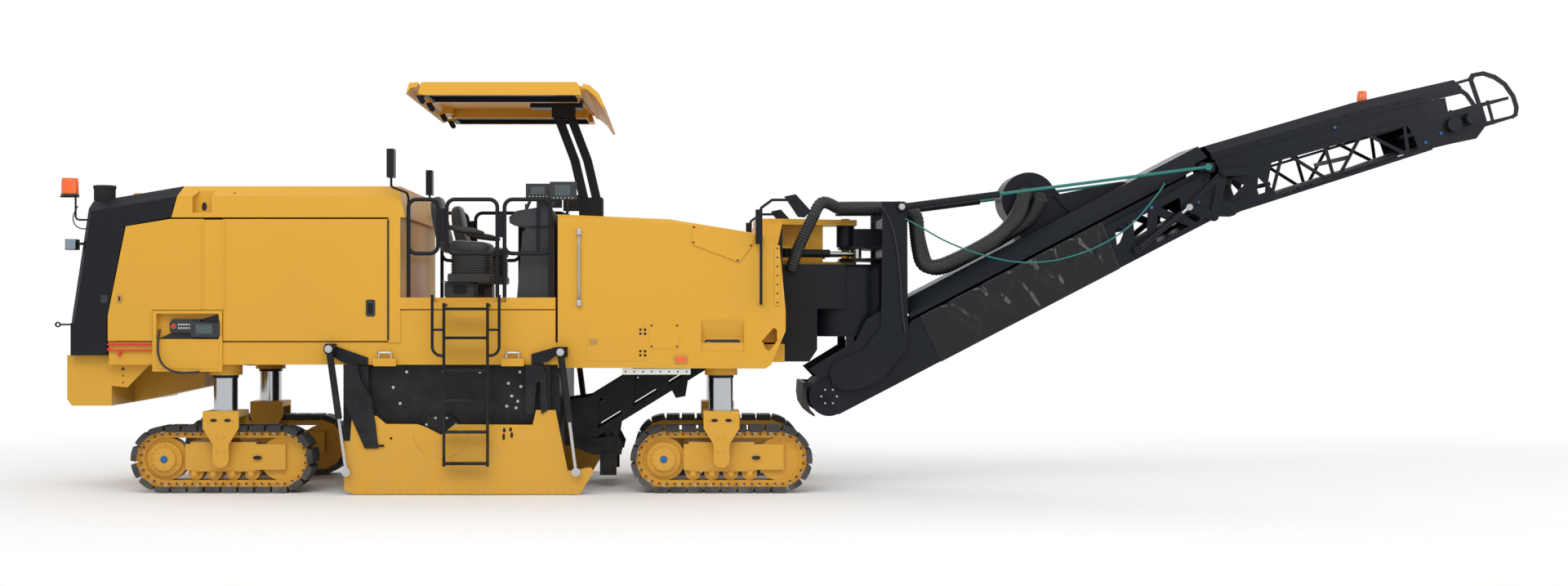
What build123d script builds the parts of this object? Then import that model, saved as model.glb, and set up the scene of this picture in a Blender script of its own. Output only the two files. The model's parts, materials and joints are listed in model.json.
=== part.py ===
"""Cold planer (road milling machine) on four steered track units, with a folding discharge conveyor.

Millimetres, +X forward towards the discharge conveyor, +Y to the machine's left, +Z up, ground at Z = 0.
Stations along X are measured from the datum on which the drawing is laid out; DATUM_X puts that datum in
the machine's own frame, whose origin is on the ground under the middle of the whole machine.  Outlines in
side view are lists of (X, Z); every station, half width and height set by itself has a name of its own.
"""
import os
from math import atan2, cos, degrees, hypot, pi, radians, sin

from build123d import *

os.makedirs("parts", exist_ok=True)

# ---------------------------------------------------------------- driving dimensions
DATUM_X = 155.0  # the datum, from the middle of the whole machine
X_DRUM, Z_DRUM = -3773.0, 591.0  # milling drum axis
X_LEG_REAR = -6000.0  # rear lifting columns
X_LEG_FRONT = -980.0  # front lifting columns
LEG_Y = 970.0  # half the distance between left and right columns
X_SWING = 370.0  # vertical axis on which the discharge conveyor swings
LIFT = (326.0, 1175.0)  # axis about which the conveyor is raised, (X, Z)
BOOM_ANGLE = 27.5  # slope of the lower conveyor section, degrees
FOLD_ALONG, FOLD_SQUARE = 4357.0, -345.0  # fold hinge, along and square to the lower section from its axis
TIP_ANGLE = 18.5  # slope of the upper conveyor section, degrees

BODY_Y = 1250.0  # outer face of the doors and tank sides
SKIN = 30.0  # thickness of a door
PLATE = 30.0  # frame and bracket plate
PIN_FIT = 0.5  # radial gap of a pin, shaft or column in its bore
SEAT = 0.3  # gap between a moving piece and what it bears on
DOOR_GAP = 6.0  # gap round a door or lid

BEAM_Z = (1290.0, 1510.0)  # bottom and top of the side beams
BEAM_Y = (1040.0, 1240.0)  # inner and outer faces of the side beams
BEAM_X = (-7100.0, -560.0)
CROSS_Z = (1310.0, 1490.0)  # cross members
X_TANK = -2616.0  # rear end of the front tank
X_DECK = (-4189.0, -2640.0)  # operator's platform
DECK_Z = 1960.0  # operator's floor
X_BULKHEAD = (-4308.0, -4189.0)  # wall between engine bay and platform


# ---------------------------------------------------------------- helpers
def side_plane(y):
    """The plane of side outlines at y: local x is +X, local y is +Z, extrusions run towards -Y."""
    return Plane(origin=(0, y, 0), x_dir=(1, 0, 0), z_dir=(0, -1, 0))


def span(side, low, high):
    """Two distances from the middle of the machine as Y values on one side, in rising order."""
    return tuple(sorted((side * low, side * high)))


def slab(points, y, mode=Mode.ADD):
    """A flat piece with a side outline, over the Y range y."""
    with BuildSketch(side_plane(y[1])) as outline:
        with BuildLine():
            Polyline(*points, close=True)
        make_face()
    extrude(outline.sketch, amount=y[1] - y[0], mode=mode)


def tray(points, z, mode=Mode.ADD):
    """A flat piece with a plan outline of (X, Y), over the Z range z."""
    with BuildSketch(Plane.XY.offset(z[0])) as outline:
        with BuildLine():
            Polyline(*points, close=True)
        make_face()
    extrude(outline.sketch, amount=z[1] - z[0], mode=mode)


def prism(points, x, mode=Mode.ADD):
    """A piece with an end outline of (Y, Z), over the X range x."""
    with BuildSketch(Plane(origin=(x[0], 0, 0), x_dir=(0, 1, 0), z_dir=(1, 0, 0))) as outline:
        with BuildLine():
            Polyline(*points, close=True)
        make_face()
    extrude(outline.sketch, amount=x[1] - x[0], mode=mode)


def block(x, y, z, mode=Mode.ADD):
    """A box from three (low, high) pairs."""
    with Locations(((x[0] + x[1]) / 2, (y[0] + y[1]) / 2, (z[0] + z[1]) / 2)):
        Box(x[1] - x[0], y[1] - y[0], z[1] - z[0], mode=mode)


def rod_y(at, y, radius, mode=Mode.ADD):
    """A round bar along Y at the point (X, Z)."""
    with BuildSketch(side_plane(y[1])) as disc:
        with Locations(at):
            Circle(radius)
    extrude(disc.sketch, amount=y[1] - y[0], mode=mode)


def rod_z(at, z, radius, mode=Mode.ADD):
    """A round bar along Z at the point (X, Y)."""
    with BuildSketch(Plane.XY.offset(z[0])) as disc:
        with Locations(at):
            Circle(radius)
    extrude(disc.sketch, amount=z[1] - z[0], mode=mode)


def bar(start, end, radius, mode=Mode.ADD):
    """A round bar between two points."""
    a, b = Vector(*start), Vector(*end)
    with BuildSketch(Plane(origin=a, z_dir=b - a)) as disc:
        Circle(radius)
    extrude(disc.sketch, amount=(b - a).length, mode=mode)


def tube(points, radius, bend):
    """A round tube along a path of straight runs with one radius at its bends."""
    with BuildLine() as path:
        FilletPolyline(*points, radius=bend)
    with BuildSketch(Plane(origin=path.line @ 0, z_dir=path.line % 0)) as disc:
        Circle(radius)
    sweep(disc.sketch, path=path.line)


def hoop(x, z, y, radius, bend):
    """A closed round-cornered loop of tube in the upright plane at y, over X and Z ranges."""
    mid = (x[0] + x[1]) / 2
    for edge in x:
        tube([(mid, y, z[0]), (edge, y, z[0]), (edge, y, z[1]), (mid, y, z[1])], radius, bend)


def bevel(start, end, y, inward, down):
    """Cuts the long upper edges of a body, from start to end in side view at |Y| = y, to a slope."""
    (xa, za), (xb, zb) = towards(start, end, -40), towards(end, start, -40)
    for side in (-1, 1):
        plane = Plane(origin=(xa, side * y, za), x_dir=(0, -side, 0), z_dir=(xb - xa, 0, zb - za))
        reach = 60.0
        corner = [
            (-reach, -side * reach),
            (inward * (1 + reach / down), -side * reach),
            (-reach, side * down * (1 + reach / inward)),
        ]
        with BuildSketch(plane) as wedge:
            with BuildLine():
                Polyline(*corner, close=True)
            make_face()
        extrude(wedge.sketch, amount=hypot(xb - xa, zb - za), mode=Mode.SUBTRACT)


def link(start, end, y, radius, bore=0.0):
    """A flat link between two pins at (X, Z), round at both ends."""
    (xa, za), (xb, zb) = start, end
    with BuildSketch(side_plane(y[1])) as outline:
        with Locations(((xa + xb) / 2, (za + zb) / 2)):
            SlotCenterToCenter(hypot(xb - xa, zb - za), 2 * radius, rotation=degrees(atan2(zb - za, xb - xa)))
        if bore:
            with Locations(start, end):
                Circle(bore, mode=Mode.SUBTRACT)
    extrude(outline.sketch, amount=y[1] - y[0])


def frame_work(bars, plates, y, holes=()):
    """A flat frame over the Y range y: bars (start, end, width) and plates (outlines), less the holes (outlines)."""
    with BuildSketch(side_plane(y[1])) as work:
        for (xa, za), (xb, zb), width in bars:
            turn = degrees(atan2(zb - za, xb - xa))
            with Locations(Location(((xa + xb) / 2, (za + zb) / 2, 0), (0, 0, turn))):
                Rectangle(hypot(xb - xa, zb - za), width)
        for points in plates:
            with BuildLine():
                Polyline(*points, close=True)
            make_face()
        for points in holes:
            with BuildLine():
                Polyline(*points, close=True)
            make_face(mode=Mode.SUBTRACT)
    extrude(work.sketch, amount=y[1] - y[0])


def inclined(origin, angle):
    """Turns distances along and square to a line rising at angle from origin into (X, Z)."""
    c, s = cos(radians(angle)), sin(radians(angle))
    return lambda along, square: (origin[0] + along * c - square * s, origin[1] + along * s + square * c)


def towards(start, end, distance):
    """The point at a distance from start on the way to end, in any number of axes."""
    length = hypot(*(b - a for a, b in zip(start, end)))
    return tuple(a + (b - a) * distance / length for a, b in zip(start, end))


def save(builder, name):
    """Labels a finished piece, puts it in the machine's frame and writes it as parts/name.step."""
    piece = builder.part.moved(Location((DATUM_X, 0, 0)))
    piece.label = name
    export_step(piece, f"parts/{name}.step")


# ---------------------------------------------------------------- lifting columns and track units
COLUMN_R = 120.0  # chrome column
COLUMN_TOP = 1490.0
SLEEVE_R, SLEEVE_Z = 165.0, 1180.0  # guide sleeve on the frame and its lower end
YOKE_TOP = 820.0  # head of the yoke that straddles the track
YOKE_HEAD, YOKE_NECK = 180.0, 80.0  # half lengths of the yoke's head and of its lower lobe
TRACK_H, TRACK_W = 670.0, 340.0  # over the shoes
WHEEL_U = 580.0  # drive and guide wheels, from the column
SHOES, SHOE_T, SHOE_GAP, SHOE_SEAT = 25, 50.0, 24.0, 12.0
LINK_T, CHAIN_W = 72.0, 180.0  # chain height and width over its two rails
FRAME_U, FRAME_W, FRAME_TOP = 330.0, 220.0, 505.0  # track frame
PLATE_U, PLATE_Z, FORK_T = (-380.0, 628.0), (227.0, 484.0), 40.0  # side plates of the track frame
ROLLERS, ROLLER_R = (-285.0, -95.0, 95.0, 285.0), 76.0
HUB_R, HUB_OUT = 112.0, 165.0  # drive motor cover
RING_R, RING_OUT = 168.0, 122.0  # sprocket's bolted ring
PIVOT_R = 70.0

LOOP_R = TRACK_H / 2
CHAIN_OUT = LOOP_R - SHOE_T
CHAIN_IN = CHAIN_OUT - LINK_T
YOKE_IN = TRACK_W / 2 + 12.0

TRACKS = (
    ("front_right", X_LEG_FRONT, -1),
    ("front_left", X_LEG_FRONT, 1),
    ("rear_right", X_LEG_REAR, -1),
    ("rear_left", X_LEG_REAR, 1),
)


def shoe_places(radius):
    """Middle and heading of each shoe on a loop at radius round the two wheels, as (u, w, degrees)."""
    straight, arc = 2 * WHEEL_U, pi * radius
    for i in range(SHOES):
        s = (i + 0.5) * 2 * (straight + arc) / SHOES
        if s < straight:
            yield s - WHEEL_U, radius, 0.0
        elif s < straight + arc:
            a = (s - straight) / radius
            yield WHEEL_U + radius * sin(a), radius * cos(a), -degrees(a)
        elif s < 2 * straight + arc:
            yield WHEEL_U - (s - straight - arc), -radius, 180.0
        else:
            a = (s - 2 * straight - arc) / radius
            yield -WHEEL_U - radius * sin(a), -radius * cos(a), 180.0 - degrees(a)


for name, x_leg, side in TRACKS:
    y_leg = side * LEG_Y
    pivot = (x_leg, LOOP_R)

    with BuildPart() as leg:
        rod_z((x_leg, y_leg), (YOKE_TOP, COLUMN_TOP), COLUMN_R)
        yoke_out = YOKE_IN + PLATE
        block(
            (x_leg - YOKE_HEAD, x_leg + YOKE_HEAD),
            (y_leg - yoke_out, y_leg + yoke_out),
            (YOKE_TOP - 2 * PLATE, YOKE_TOP),
        )
        cheek = [
            (x_leg - YOKE_HEAD, YOKE_TOP),
            (x_leg - YOKE_HEAD, YOKE_TOP - 170),
            (x_leg - YOKE_NECK, YOKE_TOP - 330),
            (x_leg - YOKE_NECK, LOOP_R),
            (x_leg + YOKE_NECK, LOOP_R),
            (x_leg + YOKE_NECK, YOKE_TOP - 330),
            (x_leg + YOKE_HEAD, YOKE_TOP - 170),
            (x_leg + YOKE_HEAD, YOKE_TOP),
        ]
        for y_low in (y_leg - yoke_out, y_leg + YOKE_IN):
            slab(cheek, (y_low, y_low + PLATE))
            rod_y(pivot, (y_low, y_low + PLATE), YOKE_NECK)
    save(leg, f"leg_{name}")

    with BuildPart() as track:
        with BuildSketch(side_plane(y_leg + CHAIN_W / 2)) as chain:
            with Locations(pivot):
                SlotCenterToCenter(2 * WHEEL_U, 2 * CHAIN_OUT)
                SlotCenterToCenter(2 * WHEEL_U, 2 * CHAIN_IN, mode=Mode.SUBTRACT)
        extrude(chain.sketch, amount=CHAIN_W)
        shoe_r = CHAIN_OUT + (SHOE_T - SHOE_SEAT) / 2
        shoe_l = 2 * (2 * WHEEL_U + pi * shoe_r) / SHOES - SHOE_GAP
        with BuildSketch(side_plane(y_leg + TRACK_W / 2)) as shoes:
            for u, w, heading in shoe_places(shoe_r):
                with Locations(Location((x_leg + u, LOOP_R + w, 0), (0, 0, heading))):
                    Rectangle(shoe_l, SHOE_T + SHOE_SEAT)
            with Locations(pivot):
                SlotCenterToCenter(2 * WHEEL_U, 2 * LOOP_R, mode=Mode.INTERSECT)
        extrude(shoes.sketch, amount=TRACK_W)
        fork_in = FRAME_W / 2 - FORK_T
        roller_z = LOOP_R - CHAIN_IN + ROLLER_R - 2
        block(
            (x_leg - FRAME_U, x_leg + FRAME_U),
            (y_leg - FRAME_W / 2, y_leg + FRAME_W / 2),
            (roller_z + 14, FRAME_TOP),
        )
        for y_low in (y_leg - FRAME_W / 2, y_leg + fork_in):
            block((x_leg + PLATE_U[0], x_leg + PLATE_U[1]), (y_low, y_low + FORK_T), PLATE_Z)
            block((x_leg - 60, x_leg + 520), (y_low, y_low + FORK_T + 12), (PLATE_Z[1] - 62, PLATE_Z[1] - 44))
        for u in (-WHEEL_U, WHEEL_U):
            rod_y((x_leg + u, LOOP_R), (y_leg - fork_in, y_leg + fork_in), CHAIN_IN + 3)
        for u in ROLLERS:
            rod_y((x_leg + u, roller_z), (y_leg - fork_in, y_leg + fork_in), ROLLER_R)
        rod_y((x_leg - WHEEL_U, LOOP_R), span(side, LEG_Y, LEG_Y + HUB_OUT), HUB_R)
        rod_y((x_leg - WHEEL_U, LOOP_R), span(side, LEG_Y, LEG_Y + RING_OUT), RING_R)
        rod_y(pivot, (y_leg - YOKE_IN, y_leg + YOKE_IN), PIVOT_R)
    save(track, f"track_{name}")

# ---------------------------------------------------------------- conveyor path through the frame
PRIMARY_Y = 450.0  # half width of the primary conveyor's case
PRIMARY_H = 470.0  # upright height of the case
PRIMARY_FIT = 10.0  # room round the case where it passes the tank
PRIMARY_LOW = [(-2600.0, 424.0), (-2357.0, 458.0), (-130.0, 1826.0)]  # underside

TONGUE_Z = (2311.0, 2346.0, 2732.0, 2792.0)  # lower plate and upper plate of the tongue
PORTAL_X = (-600.0, -340.0)  # portal over the primary conveyor that carries the tongue
PORTAL_Y = (480.0, 640.0)
KINGPIN_R = 45.0
SWING_Z = 2430.0  # swing cylinders
SWING_FRAME = (-278.0, 420.0)  # swing cylinder's pin on the frame, (X, |Y|)
SWING_POST = (X_SWING + 110.0, 190.0)  # its rod's eye on the post
EAR_Z = (SWING_Z - 76.0, SWING_Z - 48.0, SWING_Z + 48.0, SWING_Z + 76.0)  # ears below and above its eyes
SWING_PIN = 25.0

PLATE_CYL_Y = 1362.0  # side plate cylinders
PLATE_CYL = (((-4876.0, 1450.0), (-4706.0, 230.0)), ((-2581.0, 1418.0), (-2428.0, 230.0)))  # pin, rod eye
PLATE_CYL_R, PLATE_ROD_R, PLATE_PIN = 34.0, 18.0, 18.0

# ---------------------------------------------------------------- main frame
BUMPER_Y = 1150.0
BUMPER = [(-7547.0, 1382.0), (-7547.0, 940.0), (-7500.0, 876.0), (-7100.0, 876.0), (-7100.0, 1382.0)]
TOW_X, TOW_Z, TOW_R = -7480.0, 960.0, 25.0  # tow pin hole below the pocket in the bumper
CYL_BRACKET = [
    (-4940.0, 1478.0),
    (-4860.0, 1485.0),
    (-4510.0, 1360.0),
    (-4510.0, 1292.0),
    (-4640.0, 1292.0),
    (-4740.0, 1305.0),
    (-4930.0, 1410.0),
]
TAIL_Y = 400.0
TAIL = [(-7100.0, 876.0), (-6368.0, 1035.0), (-6368.0, CROSS_Z[0]), (-7100.0, CROSS_Z[0])]
CROSS_X = (-6440.0, X_LEG_REAR, -5600.0, -4700.0, -4250.0, -2700.0)
CROSS_L = 120.0

with BuildPart() as main_frame:
    for side in (-1, 1):
        block(BEAM_X, span(side, *BEAM_Y), BEAM_Z)
        for x_leg in (X_LEG_REAR, X_LEG_FRONT):
            rod_z((x_leg, side * LEG_Y), (SLEEVE_Z, BEAM_Z[1]), SLEEVE_R)
        block((X_LEG_FRONT - 150, X_LEG_FRONT + 150), span(side, PORTAL_Y[0], BEAM_Y[0]), CROSS_Z)
        x_pin, z_pin = PLATE_CYL[0][0]
        block((x_pin - 50, x_pin + 50), span(side, BEAM_Y[1], PLATE_CYL_Y - 40), (z_pin - 50, z_pin + 50))
        rod_y((x_pin, z_pin), span(side, BEAM_Y[1], PLATE_CYL_Y + 40), PLATE_PIN)
        slab(CYL_BRACKET, span(side, BEAM_Y[1], BEAM_Y[1] + 22))
    for x_mid in CROSS_X:
        block((x_mid - CROSS_L / 2, x_mid + CROSS_L / 2), (-BEAM_Y[0], BEAM_Y[0]), CROSS_Z)
    block(PORTAL_X, (-BEAM_Y[0], BEAM_Y[0]), CROSS_Z)
    for x_leg in (X_LEG_REAR, X_LEG_FRONT):
        for side in (-1, 1):
            rod_z((x_leg, side * LEG_Y), (SLEEVE_Z, COLUMN_TOP + 5), COLUMN_R + PIN_FIT, mode=Mode.SUBTRACT)
save(main_frame, "main_frame")

BRACKET = [(-7100.0, 1288.0), (-7100.0, 1075.0), (-6945.0, 1059.0), (-6720.0, 1288.0)]
BRACKET_HOLES = ((-6987.0, 1245.0, 18.0), (-6987.0, 1178.0, 10.0), (-6987.0, 1110.0, 10.0))
with BuildPart() as rear_bumper:
    slab(BUMPER, (-BUMPER_Y, BUMPER_Y))
    block((BUMPER[0][0], TOW_X + 80), (-110, 110), (TOW_Z, TOW_Z + 140), mode=Mode.SUBTRACT)
    rod_z((TOW_X, 0), (BUMPER[2][1], TOW_Z), TOW_R, mode=Mode.SUBTRACT)
    slab(TAIL, (-TAIL_Y, TAIL_Y))
    for side in (-1, 1):
        slab(BRACKET, span(side, BUMPER_Y - 20, BUMPER_Y))
        for x, z, r in BRACKET_HOLES:
            rod_y((x, z), span(side, BUMPER_Y - 21, BUMPER_Y + 1), r, mode=Mode.SUBTRACT)
save(rear_bumper, "rear_bumper")

with BuildPart() as conveyor_tongue:
    for side in (-1, 1):
        block(PORTAL_X, span(side, *PORTAL_Y), (CROSS_Z[1], TONGUE_Z[0]))
        for ear in (EAR_Z[:2], EAR_Z[2:]):
            block(
                (SWING_FRAME[0] - 70, SWING_FRAME[0] + 50),
                span(side, SWING_FRAME[1] - 60, SWING_FRAME[1] + 60),
                ear,
            )
        rod_z((SWING_FRAME[0], side * SWING_FRAME[1]), (EAR_Z[0], EAR_Z[3]), SWING_PIN)
        block((PORTAL_X[1], 120.0), span(side, 90, 120), (TONGUE_Z[1], TONGUE_Z[2]))
    block(PORTAL_X, (-PORTAL_Y[1], PORTAL_Y[1]), (TONGUE_Z[0], TONGUE_Z[2]))
    neck = [(PORTAL_X[1], -380), (X_SWING, -130), (X_SWING + 110, -130)]
    outline = [(PORTAL_X[0], -380)] + neck + [(x, -y) for x, y in reversed(neck)] + [(PORTAL_X[0], 380)]
    tray(outline, TONGUE_Z[2:])
    tray([(x, 0.6 * y) for x, y in outline], TONGUE_Z[:2])
    rod_z((X_SWING, 0), (TONGUE_Z[0], TONGUE_Z[3] + 16), KINGPIN_R)
save(conveyor_tongue, "conveyor_tongue")

# ---------------------------------------------------------------- engine housing, doors, hood and cowl
COWL_Y = 1240.0
COWL = [
    (-7483.0, 1382.0 + SEAT),
    (-7483.0, 1748.0),
    (-7303.0, 2925.0),
    (-6394.0, 3080.0),
    (-6484.0, 2762.0),
    (-6944.0, 2672.0),
    (-7123.0, 1748.0),
    (-7123.0, 1382.0 + SEAT),
]
SILL_TOP = 1522.0
RAIL_TOP = 2736.0
HOOD_Z = (2760.0, 2974.0, 3080.0)  # lower edge, chamfer edge and top
HOOD = [(-6472.0, 2760.0), (-6384.0, 3080.0), (-4213.0, 3080.0), (-4140.0, 2760.0)]
HOOD_TOP_Y = 1100.0
HOOD_SKIN = 20.0
X_DOOR_REAR, X_DOOR_FRONT = -6153.0, -5950.0  # hinge edges of the rear and front doors
BOX_X, BOX_Z = (-6659.0, -5962.0), (1222.0, 1830.0)  # ground-level control station
DOOR_Z = (1528.0, 2743.0)
REAR_DOOR = [
    (-7107.0, DOOR_Z[0]),
    (-7107.0, 1781.0),
    (-6928.0, 2670.0),
    (-6488.0, DOOR_Z[1]),
    (X_DOOR_REAR, DOOR_Z[1]),
    (X_DOOR_REAR, BOX_Z[1] + DOOR_GAP),
    (BOX_X[0] - DOOR_GAP, BOX_Z[1] + DOOR_GAP),
    (BOX_X[0] - DOOR_GAP, DOOR_Z[0]),
]
FRONT_DOOR = [
    (X_DOOR_FRONT, DOOR_Z[0]),
    (X_DOOR_FRONT, DOOR_Z[1]),
    (-4311.0, DOOR_Z[1]),
    (-4311.0, DOOR_Z[0]),
]
DOOR_Y = (BODY_Y - SKIN, BODY_Y)
LINING_Y = BODY_Y - SKIN - DOOR_GAP  # outer face of what the doors close on

REAR_STRIP = [
    (-7115.0, BEAM_Z[1]),
    (-7115.0, 1750.0),
    (-6936.0, 2665.0),
    (-6470.0, RAIL_TOP),
    (-6470.0, RAIL_TOP - 80),
    (-6870.0, 2590.0),
    (-7045.0, 1740.0),
    (-7045.0, BEAM_Z[1]),
]

BOX_Y = 1262.0  # outer face of the control station
STATION = [(-6620.0, 1545.0), (-6000.0, 1545.0), (-6000.0, 1800.0), (-6620.0, 1800.0)]  # its open recess
KEYPAD = [(-6490.0, 1610.0), (-6500.0, 1700.0), (-6470.0, 1745.0), (-6190.0, 1745.0), (-6190.0, 1610.0)]
DISPLAY = [(-6270.0, 1570.0), (-6280.0, 1720.0), (-5985.0, 1705.0), (-5985.0, 1590.0), (-6010.0, 1560.0)]

with BuildPart() as engine_housing:
    for side in (-1, 1):
        block((-7100.0, X_BULKHEAD[0]), span(side, 1100, LINING_Y), (BEAM_Z[1], SILL_TOP))
        pillar_z = (BOX_Z[1] + DOOR_GAP, RAIL_TOP)
        block((X_DOOR_REAR + DOOR_GAP, X_DOOR_FRONT - DOOR_GAP), span(side, 1130, BODY_Y), pillar_z)
        block((X_DOOR_REAR + DOOR_GAP, X_DOOR_FRONT - DOOR_GAP), span(side, 1000, 1060), (BEAM_Z[1], pillar_z[1]))
        block((X_DOOR_REAR + DOOR_GAP, X_DOOR_FRONT - DOOR_GAP), span(side, 1000, 1130), (BOX_Z[1] + 40, pillar_z[1]))
        block((-6470.0, X_BULKHEAD[0]), span(side, 1130, LINING_Y), (RAIL_TOP - 80, RAIL_TOP))
        slab(REAR_STRIP, span(side, 1130, LINING_Y))
        block(BOX_X, span(side, 1060, BOX_Y), (SILL_TOP, BOX_Z[1]))
        block(BOX_X, span(side, BEAM_Y[1], BOX_Y), (BOX_Z[0], SILL_TOP))
        slab(STATION, span(side, 1185, BOX_Y + 1), mode=Mode.SUBTRACT)
        block((-6620.0, -6000.0), span(side, BOX_Y, BOX_Y + 5), (1250.0, SILL_TOP))
        slab(KEYPAD, span(side, 1185, 1225))
        slab(DISPLAY, span(side, 1225, 1278))
        bar((-6180.0, side * 1200, 1640.0), (-6180.0, side * 1230, 1640.0), 30)
    block(X_BULKHEAD, (-BODY_Y, BODY_Y), (BEAM_Z[1], HOOD_Z[0] - SEAT))
save(engine_housing, "engine_housing")

HOOD_BEVEL = (HOOD_TOP_Y, HOOD_Z[2] - HOOD_Z[1])  # half width of the hood's flat top and height of its slope
BOWL_X, BOWL_Y, BOWL_R, BOWL_TOP = -7225.0, 980.0, 100.0, 3095.0  # air pre-cleaner bowl
BEACON_X, LAMP_Y, BEACON_R = -7518.0, 1150.0, 80.0
BEACON_Z = (2975.0, 3155.0)
LAMP_BOX = ((-7548.0, -7441.0), (2438.0, 2544.0))  # rear work lamp, X and Z
EYE_X, EYE_Z = -7640.0, 1690.0  # pull-out eye at the rear
with BuildPart() as rear_cowl:
    slab(COWL, (-COWL_Y, COWL_Y))
    bevel(COWL[2], COWL[3], COWL_Y, COWL_Y - HOOD_BEVEL[0], HOOD_BEVEL[1])
    bevel(COWL[1], COWL[2], COWL_Y, 44, 44)
    rod_z((BOWL_X, -BOWL_Y), (2925.0, BOWL_TOP), BOWL_R)
    rod_z((BOWL_X, -BOWL_Y), (BOWL_TOP - 20, BOWL_TOP), BOWL_R + 8)
    for side in (-1, 1):
        y = side * LAMP_Y
        tube([(-7320, y, 2740), (-7462, y, 2740), (-7462, y, BEACON_Z[0] - 8)], 10, 40)
        block((BEACON_X - 95, -7435), span(side, LAMP_Y - 30, LAMP_Y + 30), (BEACON_Z[0] - 10, BEACON_Z[0]))
        rod_z((BEACON_X, y), BEACON_Z, BEACON_R)
        bar((-7360, y, 2500), (-7450, y, 2500), 14)
        block(LAMP_BOX[0], span(side, LAMP_Y - 60, LAMP_Y + 60), LAMP_BOX[1])
        bar((-7470, y, EYE_Z), (EYE_X + 22, y, EYE_Z), 9)
        rod_y((EYE_X, EYE_Z), span(side, LAMP_Y - 8, LAMP_Y + 8), 28)
        rod_y((EYE_X, EYE_Z), span(side, LAMP_Y - 9, LAMP_Y + 9), 15, mode=Mode.SUBTRACT)
save(rear_cowl, "rear_cowl")

HANDLE = [(-6264, 2808), (-6070, 2808), (-6070, 2980), (-6040, 3052), (-6190, 3052), (-6264, 2960)]
HANDLE_IN = 1165.0  # floor of the hood's lifting recess
HOOD_PIN = (-6388.0, HOOD_Z[2] + 4)
with BuildPart() as hood:
    slab(HOOD, (-BODY_Y, BODY_Y))
    shape = [(-BODY_Y, HOOD_Z[0]), (-BODY_Y, HOOD_Z[1]), (-HOOD_TOP_Y, HOOD_Z[2])]
    prism(shape + [(-y, z) for y, z in reversed(shape)], (-6500.0, -4100.0), mode=Mode.INTERSECT)
    hollow = [(-BODY_Y + HOOD_SKIN, HOOD_Z[0] - 1), (-BODY_Y + HOOD_SKIN, HOOD_Z[1] - 8), (-HOOD_TOP_Y + 8, HOOD_Z[2] - HOOD_SKIN)]
    prism(hollow + [(-y, z) for y, z in reversed(hollow)], (-6350.0, -4260.0), mode=Mode.SUBTRACT)
    for side in (-1, 1):
        block((-6284.0, -6020.0), span(side, HANDLE_IN - 15, 1235), (2788.0, 3066.0))
        prism([(side * y, z) for y, z in ((1300, 2900), (1300, 3150), (900, 3150), (1100, 3080), (1250, 2974))], (-6290.0, -6010.0), mode=Mode.SUBTRACT)
        slab(HANDLE, span(side, HANDLE_IN, BODY_Y + 1), mode=Mode.SUBTRACT)
    rod_y(HOOD_PIN, (-900, 900), DOOR_GAP)
save(hood, "hood")

for name, side in (("right", -1), ("left", 1)):
    for where, outline in (("rear", REAR_DOOR), ("front", FRONT_DOOR)):
        with BuildPart() as door:
            slab(outline, span(side, *DOOR_Y))
            hinge_z = (BOX_Z[1] + DOOR_GAP if where == "rear" else DOOR_Z[0], DOOR_Z[1])
            rod_z((X_DOOR_REAR if where == "rear" else X_DOOR_FRONT, side * BODY_Y), hinge_z, DOOR_GAP - SEAT)
        save(door, f"door_{where}_{name}")

ENGINE_X, ENGINE_Y = (-5900.0, -4500.0), 420.0
with BuildPart() as engine_block:
    block(ENGINE_X, (-ENGINE_Y, ENGINE_Y), (CROSS_Z[1], 2350.0))
    block((-5700.0, -4700.0), (-300, 300), (2350.0, 2600.0))
    for side in (-1, 1):
        block((-5850.0, -4550.0), span(side, ENGINE_Y, ENGINE_Y + 150), (2150.0, 2280.0))
        for x in (-5600.0, -5200.0, -4800.0):
            block((x - 90, x + 90), span(side, ENGINE_Y, ENGINE_Y + 90), (1600.0, 2000.0))
save(engine_block, "engine_block")

# ---------------------------------------------------------------- operator's platform
DECK_STEP = (-3855.0, -3130.0)  # lowered step at the head of the ladder, along X
BACKREST = [(-3958, 2998), (-3944, 2615), (-3850, 2393), (-3700, 2440), (-3700, 2560), (-3760, 2760), (-3790, 2900), (-3815, 3005)]
CUSHION = [(-3700, 2440), (-3760, 2409), (-3345, 2409), (-3325, 2450), (-3350, 2500), (-3560, 2533), (-3700, 2520)]
ARMREST = [(-3764, 2640), (-3556, 2640), (-3442, 2600), (-3440, 2640), (-3560, 2690), (-3764, 2690)]
SEAT_Y = 800.0
SEAT_W = 480.0
with BuildPart() as operator_deck:
    block(X_DECK, (-BEAM_Y[1], BEAM_Y[1]), (BEAM_Z[1], 1846.0))
    block(X_DECK, (-BODY_Y, BODY_Y), (1846.0, DECK_Z))
    for side in (-1, 1):
        block(DECK_STEP, span(side, BODY_Y - 110, BODY_Y + 1), (1911.0, DECK_Z + 1), mode=Mode.SUBTRACT)
        block(X_DECK, span(side, BEAM_Y[1] - 25, BEAM_Y[1] + 1), (1832.0, 1846.0), mode=Mode.SUBTRACT)
save(operator_deck, "operator_deck")

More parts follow.
